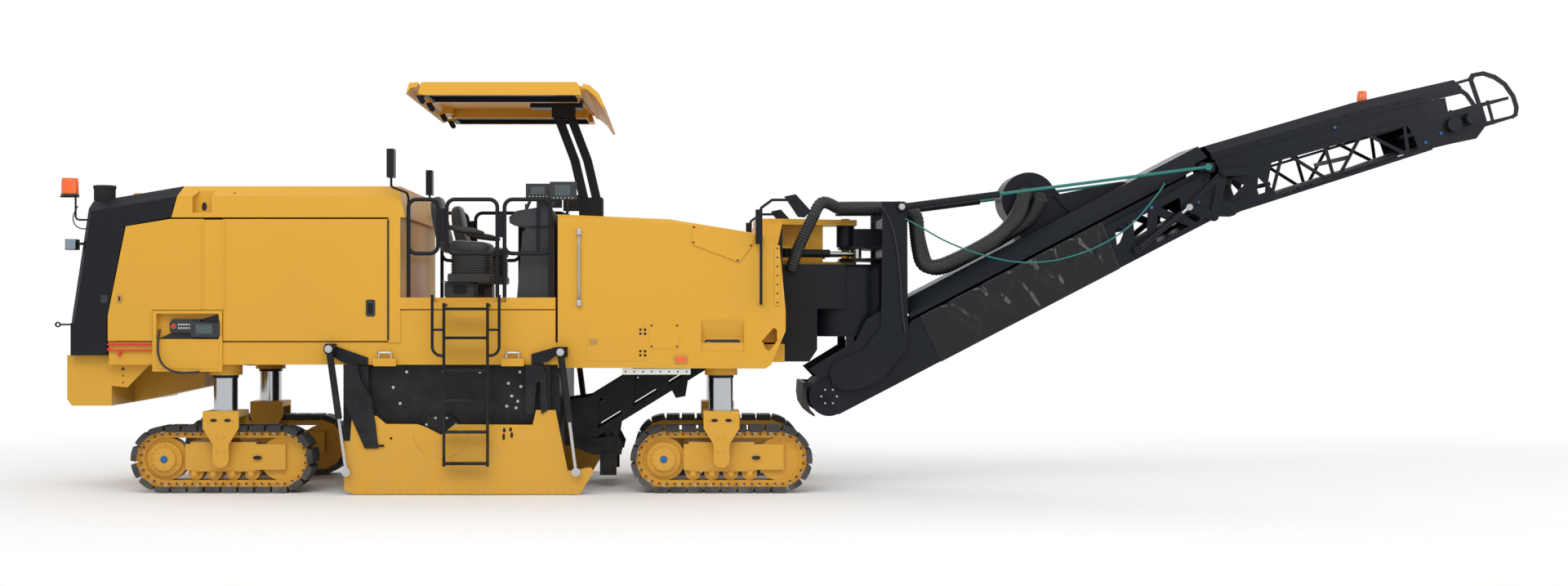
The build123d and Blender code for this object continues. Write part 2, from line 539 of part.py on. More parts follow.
with BuildPart() as seats:
    for side in (-1, 1):
        y_seat = span(side, SEAT_Y - SEAT_W / 2, SEAT_Y + SEAT_W / 2)
        block((-3860.0, -3480.0), span(side, SEAT_Y - 160, SEAT_Y + 160), (DECK_Z, 2122.0))
        block((-3751.0, -3320.0), span(side, SEAT_Y - 200, SEAT_Y + 200), (2121.0, 2204.0))
        for z in (2203.0, 2252.0, 2301.0):
            block((-3735.0, -3310.0), span(side, SEAT_Y - 190, SEAT_Y + 190), (z, z + 46))
            block((-3700.0, -3340.0), span(side, SEAT_Y - 160, SEAT_Y + 160), (z + 45, z + 50))
        block((-3757.0, -3291.0), span(side, SEAT_Y - 210, SEAT_Y + 210), (2350.0, 2409.0))
        slab(CUSHION, y_seat)
        slab(BACKREST, y_seat)
        for y in (SEAT_Y - SEAT_W / 2 - 40, SEAT_Y + SEAT_W / 2 - 10):
            slab(ARMREST, span(side, y, y + 50))
save(seats, "seats")

CONSOLE = [(-3036.0, DECK_Z), (-2981.0, 2617.0), (-2900.0, 2690.0), (-2660.0, 2690.0), (-2660.0, DECK_Z)]
DASH = [
    (-3112.0, 2769.0),
    (-3105.0, 2707.0),
    (-2912.0, 2679.0),
    (-2668.0, 2679.0),
    (-2668.0, 2817.0),
    (-2719.0, 2879.0),
    (-2828.0, 2865.0),
    (-3036.0, 2831.0),
]
SCREENS = (  # monitors on their stalks: X range, Z range, |Y| of the middle
    ((-2971.0, -2716.0), (2976.0, 3125.0), 820.0),
    ((-2712.0, -2443.0), (2950.0, 3131.0), 1010.0),
)
RAIL_Y = 1225.0
RAIL_R = 20.0
LADDER_Y = (1385.0, 1440.0)
LADDER_X = (-3746.0, -3284.0)
LADDER_Z = (288.0, 1905.0)
RAILS = ((-4110.0, -3815.0), (-3727.0, -3222.0), (-3150.0, -2690.0))  # loops of the guard rail, along X
RAIL_Z = (2400.0, 2940.0)
TREADS = (318.0, 629.0, 943.0, 1237.0, 1560.0, 1846.0)
MIRROR_Y = 1290.0
FRONT_MIRROR = [(-359, 2963), (-246, 2986), (-94, 2818), (-158, 2754), (-223, 2761)]
with BuildPart() as platform_fittings:
    for side in (-1, 1):
        slab(CONSOLE, span(side, 620, 1120))
        slab(DASH, span(side, 560, 1150))
        bar((-2970.0, side * 700, 2835.0), (-2980.0, side * 700, 2925.0), 16)
        for x, z, y in SCREENS:
            block(x, span(side, y - 30, y + 30), z)
            bar((min(x[0], -2670.0) - 20, side * y, 2810.0), (x[0] + 60, side * y, z[0] + 20), 16)
        y = side * RAIL_Y
        for x in RAILS:
            hoop(x, RAIL_Z, y, RAIL_R, 80)
        for x in (RAILS[0][0], RAILS[1][1], RAILS[2][0], RAILS[2][1]):
            bar((x, y, DECK_Z), (x, y, RAIL_Z[0] + 150), RAIL_R)
        bar((-2814.0, y, RAIL_Z[0]), (-2814.0, y, RAIL_Z[1]), RAIL_R * 0.8)
        block((RAILS[0][1] - 10, RAILS[1][0] + 10), span(side, RAIL_Y - 8, RAIL_Y + 8), (2520.0, 2850.0))
        block((RAILS[1][1] - 10, RAILS[2][0] + 10), span(side, RAIL_Y - 8, RAIL_Y + 8), (2560.0, 2800.0))
        y = side * (LADDER_Y[0] + LADDER_Y[1]) / 2
        for x, outer in ((LADDER_X[0] + PLATE / 2, -115.0), (LADDER_X[1] - PLATE / 2, 115.0)):
            bar((x, y, LADDER_Z[0]), (x, y, LADDER_Z[1]), PLATE / 2)
            bar((x, side * (BODY_Y + SEAT), 1885.0), (x, y, 1885.0), 14)
            tube([(x + outer, y, 1985.0), (x + outer, y, 1385.0), (x, y, 1385.0)], PLATE / 2, 90)
            bar((x + outer, y, 1640.0), (x, y, 1640.0), 12)
        for z in TREADS:
            block((LADDER_X[0] + PLATE, LADDER_X[1] - PLATE), span(side, LADDER_Y[0] - 25, LADDER_Y[1]), (z - 14, z + 14))
            for x in LADDER_X:
                inner = x + PLATE / 2 if x == LADDER_X[0] else x - PLATE - 30
                block((inner, inner + PLATE / 2 + 30), span(side, LADDER_Y[0], LADDER_Y[1] - 12), (z - 14, z + 14))
        y = side * MIRROR_Y
        tube([(-590, side * (BODY_Y + SEAT), 1900), (-590, y + side * 20, 1900), (-590, y + side * 20, 2850), (-480, y + side * 20, 2930), (-300, y + side * 20, 2930)], 14, 18)
        block((-645, -592), span(side, MIRROR_Y, MIRROR_Y + 50), (2490, 2834))
        slab(FRONT_MIRROR, span(side, MIRROR_Y, MIRROR_Y + 40))
        y = side * RAIL_Y
        x, y_out = RAILS[0][0], side * 1330
        tube([(x, y, RAIL_Z[1] - 150), (x, y, 2960), (x, y_out, 3000), (-4265, y_out, 3060), (-4265, y_out, 3160)], 12, 30)
        block((-4300, -4230), span(side, 1262, 1400), (3150, 3432))
save(platform_fittings, "platform_fittings")

# ---------------------------------------------------------------- front tank
TANK = [
    (X_TANK, BEAM_Z[1]),
    (X_TANK, 2792.0),
    (-1499.0, 2743.0),
    (-546.0, 2588.0),
    (-399.0, 2441.0),
    (-342.0, 1830.0),
    (-342.0, 1626.0),
    (-392.0, BEAM_Z[1]),
]
SKIRT = [(X_TANK, 1259.0), (X_TANK, BEAM_Z[1]), (-392.0, BEAM_Z[1]), (-489.0, 1284.0), (-546.0, 1251.0)]
ARM_BASE = ((-2275.0, 2960.0), (-2410.0, 2960.0))  # canopy arms' lower pins, front and rear
ARM_RISE = (-297.0, 960.0)  # from a lower pin to its upper pin
ARM_IN = (-60.0, 60.0)  # front arm across the machine
ARM_OUT = (66.0, 92.0)  # the two blades of the rear arm, on each side of the front arm
ARM_KNEE = (-110.0, 470.0)  # bend of an arm, from its lower pin
ARM_PIN = 16.0
TANK_COVER = [(-1263.0, 2690.0), (-1275.0, 2490.0), (-806.0, 2311.0), (-676.0, 2482.0), (-640.0, 2588.0)]
KEY_NICHE = ((-1185.0, -757.0), ((1415.0, 1190.0), (1560.0, 1190.0), (1745.0, 1251.0)))  # X; (Z, |Y|) of its face
TANK_EYE = [(-460, 1660), (-581, 1524), (-541, 1443), (-501, 1427), (-425, 1530), (-430, 1640)]
FRONT_BRACKET = [
    (-2878.0, 1397.0),
    (-2637.0, 1466.0),
    (-2545.0, 1462.0),
    (-2560.0, 1380.0),
    (-2640.0, 1380.0),
    (-2711.0, 1321.0),
    (-2758.0, 1321.0),
    (-2758.0, 1292.0),
    (-2878.0, 1292.0),
]
with BuildPart() as front_tank:
    slab(TANK, (-BODY_Y, BODY_Y))
    bevel(TANK[1], TANK[2], BODY_Y, 45, 30)
    bevel(TANK[2], TANK[3], BODY_Y, 45, 30)
    rise = (PRIMARY_LOW[2][1] - PRIMARY_LOW[1][1]) / (PRIMARY_LOW[2][0] - PRIMARY_LOW[1][0])
    low = [(x, PRIMARY_LOW[1][1] + (x - PRIMARY_LOW[1][0]) * rise) for x in (X_TANK + 100, 0.0)]
    tunnel = [(x, z - 40) for x, z in low] + [(x, z + PRIMARY_H + PRIMARY_FIT) for x, z in reversed(low)]
    slab(tunnel, (-PRIMARY_Y - PRIMARY_FIT, PRIMARY_Y + PRIMARY_FIT), mode=Mode.SUBTRACT)
    block((-1000.0, 0.0), (-PRIMARY_Y - PRIMARY_FIT, PRIMARY_Y + PRIMARY_FIT), (1400.0, 1700.0), mode=Mode.SUBTRACT)
    block((PORTAL_X[0], 0), (-PORTAL_Y[1], PORTAL_Y[1]), (1300.0, 2800.0), mode=Mode.SUBTRACT)
    for side in (-1, 1):
        slab(SKIRT, span(side, BEAM_Y[1], BODY_Y))
        x_pin, z_pin = PLATE_CYL[1][0]
        block((x_pin - 35, x_pin + 65), span(side, BODY_Y, PLATE_CYL_Y - 40), (z_pin - 50, z_pin + 50))
        rod_y((x_pin, z_pin), span(side, BODY_Y, PLATE_CYL_Y + 40), PLATE_PIN)
        slab(FRONT_BRACKET, span(side, BODY_Y, BODY_Y + 22))
        slab(TANK_COVER, span(side, BODY_Y, BODY_Y + 12))
        (z0, y0), (z1, y1), (z2, y2) = KEY_NICHE[1]
        niche = [(side * y, z) for y, z in ((y2, z0), (y0, z0), (y1, z1), (y2, z2))]
        prism(niche, KEY_NICHE[0], mode=Mode.SUBTRACT)
        slab(TANK_EYE, span(side, BODY_Y - 200, BODY_Y + 1), mode=Mode.SUBTRACT)
    block((-2470.0, -2220.0), (-ARM_OUT[1] - 40, ARM_OUT[1] + 40), (2700.0, 2822.0))
    for x_pin, z_pin in ARM_BASE:
        rod_y((x_pin, z_pin), (-ARM_OUT[1] - 40, ARM_OUT[1] + 40), ARM_PIN)
    for y_low in (-ARM_OUT[1] - 40, ARM_OUT[1] + SEAT * 10):
        block((-2470.0, -2220.0), (y_low, y_low + 37), (2800.0, 3030.0))
save(front_tank, "front_tank")

# ---------------------------------------------------------------- canopy
ROOF_Y = 1380.0
ROOF = [
    (-4110.0, 3975.0),
    (-4080.0, 4085.0),
    (-3900.0, 4100.0),
    (-2450.0, 4100.0),
    (-2290.0, 4060.0),
    (-2200.0, 3980.0),
    (-2140.0, 3850.0),
    (-2165.0, 3842.0),
    (-2235.0, 3950.0),
    (-2320.0, 4020.0),
    (-2460.0, 4055.0),
    (-3900.0, 4055.0),
    (-4060.0, 4040.0),
]
ROOF_Y = 1120.0  # half width of the roof between its slide-out panels
PANEL = [(-3960.0, 3965.0), (-3990.0, 3985.0), (-3960.0, 4092.0), (-2420.0, 4092.0), (-2400.0, 4060.0), (-2370.0, 3965.0)]
PANEL_Y = (1126.0, 1380.0)
PANEL_WELL = ((-3900.0, -2440.0), (770.0, 1340.0))
with BuildPart() as canopy_roof:
    slab(ROOF, (-PANEL_Y[1], PANEL_Y[1]))
    for side in (-1, 1):
        slab([(-3998, 3900), (-3998, 4130), (-2360, 4130), (-2360, 3900)], span(side, ROOF_Y, PANEL_Y[1] + 1), mode=Mode.SUBTRACT)
    for side in (-1, 1):
        slab(PANEL, span(side, PANEL_Y[0], PANEL_Y[1]))
        block((-3930.0, -2430.0), span(side, 700.0, PANEL_Y[0]), (3965.0, 4056.0))
        block(PANEL_WELL[0], span(side, *PANEL_WELL[1]), (3960.0, 4040.0), mode=Mode.SUBTRACT)
        block((PANEL_WELL[0][0] - 20, PANEL_WELL[0][1] + 20), span(side, 1060.0, 1100.0), (3990.0, 4045.0))
        for y in (500.0, 1180.0):
            link((-4010.0, 3985.0), (-3975.0, 3925.0), span(side, y - 20, y + 20), 28)
        block((-4010.0, -3900.0), span(side, 480.0, 720.0), (3990.0, 4056.0))
    block((-2990.0, -2440.0), (-ARM_OUT[1] - 30, ARM_OUT[1] + 30), (3985.0, 4060.0))
    for x_low, z_low in ARM_BASE:
        rod_y((x_low + ARM_RISE[0], z_low + ARM_RISE[1]), (-ARM_OUT[1] - 28, ARM_OUT[1] + 28), ARM_PIN)
    for y_low in (-ARM_OUT[1] - 30, ARM_OUT[1] + SEAT * 10):
        block((-2760.0, -2520.0), (y_low, y_low + 27), (3880.0, 4000.0))
save(canopy_roof, "canopy_roof")

for name, (x_pin, z_pin), blades in (
    ("front", ARM_BASE[0], (ARM_IN,)),
    ("rear", ARM_BASE[1], (span(-1, *ARM_OUT), ARM_OUT)),
):
    foot, head = (x_pin, z_pin), (x_pin + ARM_RISE[0], z_pin + ARM_RISE[1])
    knee = (x_pin + ARM_KNEE[0], z_pin + ARM_KNEE[1])
    with BuildPart() as arm:
        for blade in blades:
            link(foot, knee, blade, 46)
            link(knee, head, blade, 46)
        if len(blades) == 2:
            rod_y(knee, (blades[0][0], blades[1][1]), 14)
        for pin in (foot, head):
            rod_y(pin, (-ARM_OUT[1] - 1, ARM_OUT[1] + 1), ARM_PIN + PIN_FIT, mode=Mode.SUBTRACT)
    save(arm, f"canopy_arm_{name}")

# ---------------------------------------------------------------- rotor housing, drum, side plates
HOUSING_X, HOUSING_Z, HOUSING_Y = (-4769.0, -2603.0), (465.0, BEAM_Z[0]), 1180.0
CHAMBER_Y = 1115.0
CHAMBER_R = 590.0
DRUM_R, DRUM_Y, SHAFT_R = 550.0, 1100.0, 150.0
GUIDES = ((-4600.0, -4500.0), (-2790.0, -2690.0))
PLATE_Y = (1275.0, 1305.0)
SIDE_PLATE = [
    (-4736.0, 532.0),
    (-4736.0, 45.0),
    (-4639.0, 5.0),
    (-2391.0, 5.0),
    (-2253.0, 232.0),
    (-2286.0, 272.0),
    (-2513.0, 232.0),
    (-2635.0, 840.0),
    (-2829.0, 840.0),
    (-2862.0, 694.0),
    (-3600.0, 698.0),
    (-3650.0, 690.0),
    (-3773.0, 592.0),
    (-3920.0, 668.0),
    (-4010.0, 700.0),
    (-4322.0, 702.0),
    (-4420.0, 783.0),
    (-4660.0, 783.0),
    (-4679.0, 532.0),
]
HUB_COVER_R = 205.0
KEEPER_Y = (1311.0, 1321.0)  # black plates outside the side plates that hold them to the housing
REAR_KEEPER = [
    (-4743.0, 1288.0),
    (-4734.0, 922.0),
    (-4529.0, 459.0),
    (-4399.0, 459.0),
    (-4399.0, 475.0),
    (-4337.0, 475.0),
    (-4337.0, 496.0),
    (-4399.0, 498.0),
    (-4424.0, 712.0),
    (-4464.0, 954.0),
    (-4578.0, 1155.0),
    (-4600.0, 1288.0),
]
FRONT_KEEPER = [
    (-2930.0, 1288.0),
    (-2760.0, 1288.0),
    (-2728.0, 1190.0),
    (-2712.0, 840.0),
    (-2775.0, 800.0),
    (-2785.0, 1120.0),
    (-2822.0, 1120.0),
    (-2850.0, 800.0),
    (-2930.0, 800.0),
]
KEEPER_HEAD = 1262.0  # lower edge of the heads that carry the plates
with BuildPart() as rotor_housing:
    block(HOUSING_X, (-HOUSING_Y, HOUSING_Y), HOUSING_Z)
    rod_y((X_DRUM, Z_DRUM), (-CHAMBER_Y, CHAMBER_Y), CHAMBER_R, mode=Mode.SUBTRACT)
    block((X_DRUM - CHAMBER_R, X_DRUM + CHAMBER_R), (-CHAMBER_Y, CHAMBER_Y), (400, Z_DRUM), mode=Mode.SUBTRACT)
    block((X_DRUM, HOUSING_X[1]), (-PRIMARY_Y + 20, PRIMARY_Y - 20), (520, 860), mode=Mode.SUBTRACT)
    rod_y((X_DRUM, Z_DRUM), (-HOUSING_Y, HOUSING_Y), SHAFT_R + PIN_FIT, mode=Mode.SUBTRACT)
    for side in (-1, 1):
        rod_y((X_DRUM, Z_DRUM), span(side, HOUSING_Y, PLATE_Y[0] - 8), HUB_COVER_R)
        for guide in GUIDES:
            block(guide, span(side, HOUSING_Y, PLATE_Y[0] - SEAT), (620.0, HOUSING_Z[1] - 10))
        for keeper in (REAR_KEEPER, FRONT_KEEPER):
            slab(keeper, span(side, *KEEPER_Y))
            head = [(keeper[0][0], KEEPER_HEAD), keeper[0], keeper[1] if keeper is FRONT_KEEPER else keeper[-1]]
            head.append((head[-1][0], KEEPER_HEAD))
            slab(head, span(side, HOUSING_Y, KEEPER_Y[1]))
save(rotor_housing, "rotor_housing")

with BuildPart() as milling_drum:
    rod_y((X_DRUM, Z_DRUM), (-DRUM_Y, DRUM_Y), DRUM_R - 90)
    rod_y((X_DRUM, Z_DRUM), (-HOUSING_Y + 10, HOUSING_Y - 10), SHAFT_R)
    for i in range(11):
        y = -DRUM_Y + 60 + i * 198
        for j in range(8):
            a = j * pi / 4 + i * 0.3
            c, s = cos(a), sin(a)
            foot = (X_DRUM + 440 * c, y, Z_DRUM + 440 * s)
            tip = (X_DRUM + 540 * c, y, Z_DRUM + 540 * s)
            bar(foot, tip, 28)
save(milling_drum, "milling_drum")

for name, side in (("right", -1), ("left", 1)):
    with BuildPart() as side_plate:
        slab(SIDE_PLATE, span(side, *PLATE_Y))
        for pin, eye in PLATE_CYL:
            rod_y(eye, span(side, PLATE_Y[1], PLATE_CYL_Y - 25 - 6), 36)
    save(side_plate, f"side_plate_{name}")
    for where, (pin, eye) in zip(("rear", "front"), PLATE_CYL):
        y_mid = side * PLATE_CYL_Y
        length = hypot(eye[0] - pin[0], eye[1] - pin[1])
        barrel_end = towards(pin, eye, 700)
        with BuildPart() as barrel:
            bar((*towards(pin, eye, 45)[:1], y_mid, towards(pin, eye, 45)[1]), (barrel_end[0], y_mid, barrel_end[1]), PLATE_CYL_R)
            rod_y(pin, (y_mid - 30, y_mid + 30), 50)
            rod_y(pin, (y_mid - 30, y_mid + 30), PLATE_PIN + PIN_FIT, mode=Mode.SUBTRACT)
            bore_start = towards(pin, eye, 120)
            bar((bore_start[0], y_mid, bore_start[1]), (barrel_end[0], y_mid, barrel_end[1]), PLATE_ROD_R + PIN_FIT, mode=Mode.SUBTRACT)
        save(barrel, f"plate_barrel_{where}_{name}")
        with BuildPart() as rod:
            inner = towards(pin, eye, 600)
            bar((inner[0], y_mid, inner[1]), (eye[0], y_mid, eye[1]), PLATE_ROD_R)
            rod_y(eye, (y_mid - 25, y_mid + 25), 42)
        save(rod, f"plate_rod_{where}_{name}")

# ---------------------------------------------------------------- primary conveyor and transfer shroud
PRIMARY_WINDOWS = (-2260.0, -1890.0, -1520.0, -1150.0, -780.0)
PRIMARY_SHOE = [(-2560, 480), (-2040, 520), (-1990, 420), (-2010, 330), (-2300, 330), (-2560, 424)]
with BuildPart() as primary_conveyor:
    top = [(x, z + PRIMARY_H) for x, z in PRIMARY_LOW]
    low_z = lambda x: PRIMARY_LOW[1][1] + (x - PRIMARY_LOW[1][0]) * rise
    for side in (-1, 1):
        windows = [
            [(x, low_z(x) + 80), (x + 270, low_z(x + 270) + 80), (x + 30, low_z(x + 30) + PRIMARY_H - 80)]
            for x in PRIMARY_WINDOWS
        ]
        frame_work([], [PRIMARY_LOW + top[::-1]], span(side, PRIMARY_Y - 14, PRIMARY_Y), windows)
        for x in (-1400.0, -2110.0):
            lug = [(x - 90, low_z(x - 90) + 20), (x - 40, low_z(x) - 130), (x + 60, low_z(x) - 110), (x + 90, low_z(x + 90) + 20)]
            slab(lug, span(side, PRIMARY_Y - 60, PRIMARY_Y - 40))
            rod_y((x, low_z(x) - 70), span(side, PRIMARY_Y - 61, PRIMARY_Y - 39), 16, mode=Mode.SUBTRACT)
            bar((x, side * (PRIMARY_Y - 50), low_z(x) + 30), (x, side * (PRIMARY_Y - 5), low_z(x) + 30), 18)
        slab(PRIMARY_SHOE, span(side, PRIMARY_Y, PRIMARY_Y + 20))
        block((-2230.0, -2060.0), span(side, PRIMARY_Y - 30, PRIMARY_Y + 60), (120.0, 350.0))
    for x in (-2300.0, -1700.0, -1000.0, -300.0):
        rod_y((x, low_z(x) + 230), (-PRIMARY_Y, PRIMARY_Y), 45)
    slab([(x, low_z(x) + h) for x, h in ((-2500, 120), (-150, 120), (-150, 330), (-2500, 330))], (40 - PRIMARY_Y, PRIMARY_Y - 40))
    x_seat = (PORTAL_X[0] + PORTAL_X[1]) / 2
    for side in (-1, 1):
        block((x_seat - 30, x_seat + 30), span(side, PRIMARY_Y - 14, PRIMARY_Y), (CROSS_Z[1], low_z(x_seat) + 40))
save(primary_conveyor, "primary_conveyor")

SHROUD_R, SHROUD_T, SHROUD_X = 515.0, 12.0, -334.0
SHROUD_Z = (1300.0, TONGUE_Z[0])
SHROUD_ROOF = SHROUD_Z[1] - SHROUD_T
SHROUD_CUT = [  # cut away over the conveyor, so that it can lift and swing under the shroud's roof
    (-60.0, 1290.0),
    (30.0, 1425.0),
    (30.0, 1850.0),
    (320.0, 1850.0),
    (320.0, SHROUD_ROOF),
    (900.0, SHROUD_ROOF),
    (900.0, 1290.0),
]
RISER = [(-250, 550, 2240), (-190, 550, 2430), (-70, 550, 2700), (0, 550, 2830)]  # dust duct's rising part
with BuildPart() as transfer_shroud:
    rod_z((X_SWING, 0), SHROUD_Z, SHROUD_R)
    block((SHROUD_X, X_SWING), (-SHROUD_R, SHROUD_R), SHROUD_Z)
    inner_r, inner_z = SHROUD_R - SHROUD_T, (SHROUD_Z[0] - 1, SHROUD_ROOF)
    rod_z((X_SWING, 0), inner_z, inner_r, mode=Mode.SUBTRACT)
    block((SHROUD_X - 1, X_SWING), (-inner_r, inner_r), inner_z, mode=Mode.SUBTRACT)
    slab(SHROUD_CUT, (-SHROUD_R - 1, SHROUD_R + 1), mode=Mode.SUBTRACT)
    tube([(x, -y, z) for x, y, z in RISER], 58, 200)
save(transfer_shroud, "transfer_shroud")

# ---------------------------------------------------------------- swing post
POST_Y = (540.0, 570.0)
POST = [
    (700.0, 2960.0),
    (930.0, 2960.0),
    (960.0, 2880.0),
    (965.0, 1520.0),
    (931.0, 1407.0),
    (700.0, 1130.0),
    (480.0, 1020.0),
    (326.0, 1000.0),
    (190.0, 1060.0),
    (150.0, 1175.0),
    (190.0, 1290.0),
    (326.0, 1350.0),
    (500.0, 1420.0),
    (686.0, 1661.0),
    (700.0, 2400.0),
]
STAY_PIN = (895.0, 2902.0)
STAY_Y = 605.0
STAY_PIN_R = 25.0
LIFT_R = 90.0
HOPPER = [(-50.0, 1225.0), (430.0, 1520.0), (540.0, 1740.0), (705.0, 1840.0), (705.0, 1500.0), (60.0, 1110.0)]
DUCT_LINES, DUCT_Z, DUCT_R = (-350.0, -190.0), 2900.0, 70.0  # dust ducts along the head of the post
CURTAIN_R, CURTAIN_T = 480.0, 12.0  # curtains inside the shroud, which turn with the post
CURTAIN_Z = (1560.0, SHROUD_ROOF - 9)
CURTAIN_GAPS = ((600.0, 666.0), (-600.0, 346.0))  # openings ahead and behind, from the swing axis: X, half width
with BuildPart() as swing_post:
    rod_z((X_SWING, 0), CURTAIN_Z, CURTAIN_R)
    rod_z((X_SWING, 0), CURTAIN_Z, CURTAIN_R - CURTAIN_T, mode=Mode.SUBTRACT)
    for reach, half in CURTAIN_GAPS:
        wedge = [(X_SWING, 0), (X_SWING + reach, -half), (X_SWING + reach, half)]
        tray(wedge, CURTAIN_Z, mode=Mode.SUBTRACT)
    for side in (-1, 1):
        block((X_SWING - 40, X_SWING + 40), span(side, CURTAIN_R - CURTAIN_T, SHROUD_R + 15), (1440.0, 1580.0))
    for side in (-1, 1):
        slab(POST, span(side, *POST_Y))
        rod_y(STAY_PIN, span(side, POST_Y[0], STAY_Y + 36), STAY_PIN_R)
        rod_y(LIFT, span(side, POST_Y[0] - 30, POST_Y[1]), 150)
        rod_y(LIFT, span(side, 500 - 60, POST_Y[0]), LIFT_R)
    half = [(X_SWING - 70, -110), (X_SWING + 40, -240), (560, -260), (740, -POST_Y[0]), (900, -POST_Y[0])]
    plan = half + [(x, -y) for x, y in reversed(half)]
    tray(plan, EAR_Z[:2])
    tray(plan, EAR_Z[2:])
    block((740.0, 900.0), (-POST_Y[0], POST_Y[0]), (2394.0, 2800.0))
    rod_z((X_SWING, 0), (TONGUE_Z[1] + SEAT, EAR_Z[0]), 95)
    rod_z((X_SWING, 0), (EAR_Z[3], TONGUE_Z[2] - SEAT), 95)
    block((X_SWING, 800.0), (-60, 60), (EAR_Z[3], 2700.0))
    rod_z((X_SWING, 0), (TONGUE_Z[0], TONGUE_Z[3]), KINGPIN_R + PIN_FIT, mode=Mode.SUBTRACT)
    for side in (-1, 1):
        slab(HOPPER, span(side, SHROUD_R + 8, POST_Y[0]))
    for y in DUCT_LINES:
        bar((250.0, y, DUCT_Z), (885.0, y, DUCT_Z), DUCT_R)
        block((780.0, 840.0), (y - 40, y + 40), (2790.0, DUCT_Z))
save(swing_post, "swing_post")

SWING_BARREL_L, SWING_BARREL_R, SWING_ROD_R = 470.0, 42.0, 24.0
for name, side in (("right", -1), ("left", 1)):
    base = (SWING_FRAME[0], side * SWING_FRAME[1], SWING_Z)
    eye = (SWING_POST[0], side * SWING_POST[1], SWING_Z)
    with BuildPart() as barrel:
        bar(towards(base, eye, 40), towards(base, eye, SWING_BARREL_L), SWING_BARREL_R)
        eye_z = (EAR_Z[1] + SEAT, EAR_Z[2] - SEAT)
        rod_z(base[:2], eye_z, 48)
        rod_z(base[:2], eye_z, SWING_PIN + PIN_FIT, mode=Mode.SUBTRACT)
        bar(towards(base, eye, 90), towards(base, eye, SWING_BARREL_L), SWING_ROD_R + PIN_FIT, mode=Mode.SUBTRACT)
    save(barrel, f"swing_barrel_{name}")
    with BuildPart() as rod:
        bar(towards(base, eye, 290), eye, SWING_ROD_R)
        rod_z(eye[:2], eye_z, 42)
    save(rod, f"swing_rod_{name}")

# ---------------------------------------------------------------- lower conveyor section
boom = inclined(LIFT, BOOM_ANGLE)
BOOM_Y = 500.0  # outer faces of the section's side frames
SIDE_T = 12.0  # thickness of the side frames
PULLEY, PULLEY_R = (-263.0, -131.0), 185.0  # tail pulley, along and square
TAIL_R = 205.0  # rounded tail of the side frames
BELT_Y, BELT_T = 400.0, 14.0
BOOM_LOW = -345.0  # underside of the section
CHORD_H = 60.0  # height of the chords of the side frames
BOOM_CHORD = 75.0  # middle of the upper chord
BOOM_WEB = 3060.0  # where the open lattice begins
SHEET = (940.0, 3095.0, -350.0, 170.0)  # side sheet: along from, to; square from, to
SHEET_T = 4.0
COVER_FROM = 866.0
COVER_SQUARE = (197.5, 247.0, 395.0)  # cover: flange's lower edge, crease, top
COVER_TOP_Y = 360.0  # half width of the cover's flat top
COVER_T = 10.0
COVER_END = 4384.0
fold = boom(FOLD_ALONG, FOLD_SQUARE)
HINGE_R = 30.0
CRANK_PIN, CRANK_EYE, CRANK_TOP = (4155.0, 2804.0), (3884.0, 2901.0), (4249.0, 3262.0)
CRANK_PIN_R, CRANK_TOP_R = 28.0, 22.0
TIP_LINK = (4503.0, 3275.0)
FOLD_BASE, FOLD_BASE_R = (3346.0, 2457.0), 20.0
CRANK_Y, LINK_Y, CYL_Y = (506.0, 530.0), (545.0, 565.0), 560.0
STAY_LUG = ((3995.0, 4145.0), (3270.0, 3362.0))  # lugs for the stays, X and Z ranges


def places(local, points):
    """Points given along and square to a conveyor section as (X, Z)."""
    return [local(*p) for p in points]


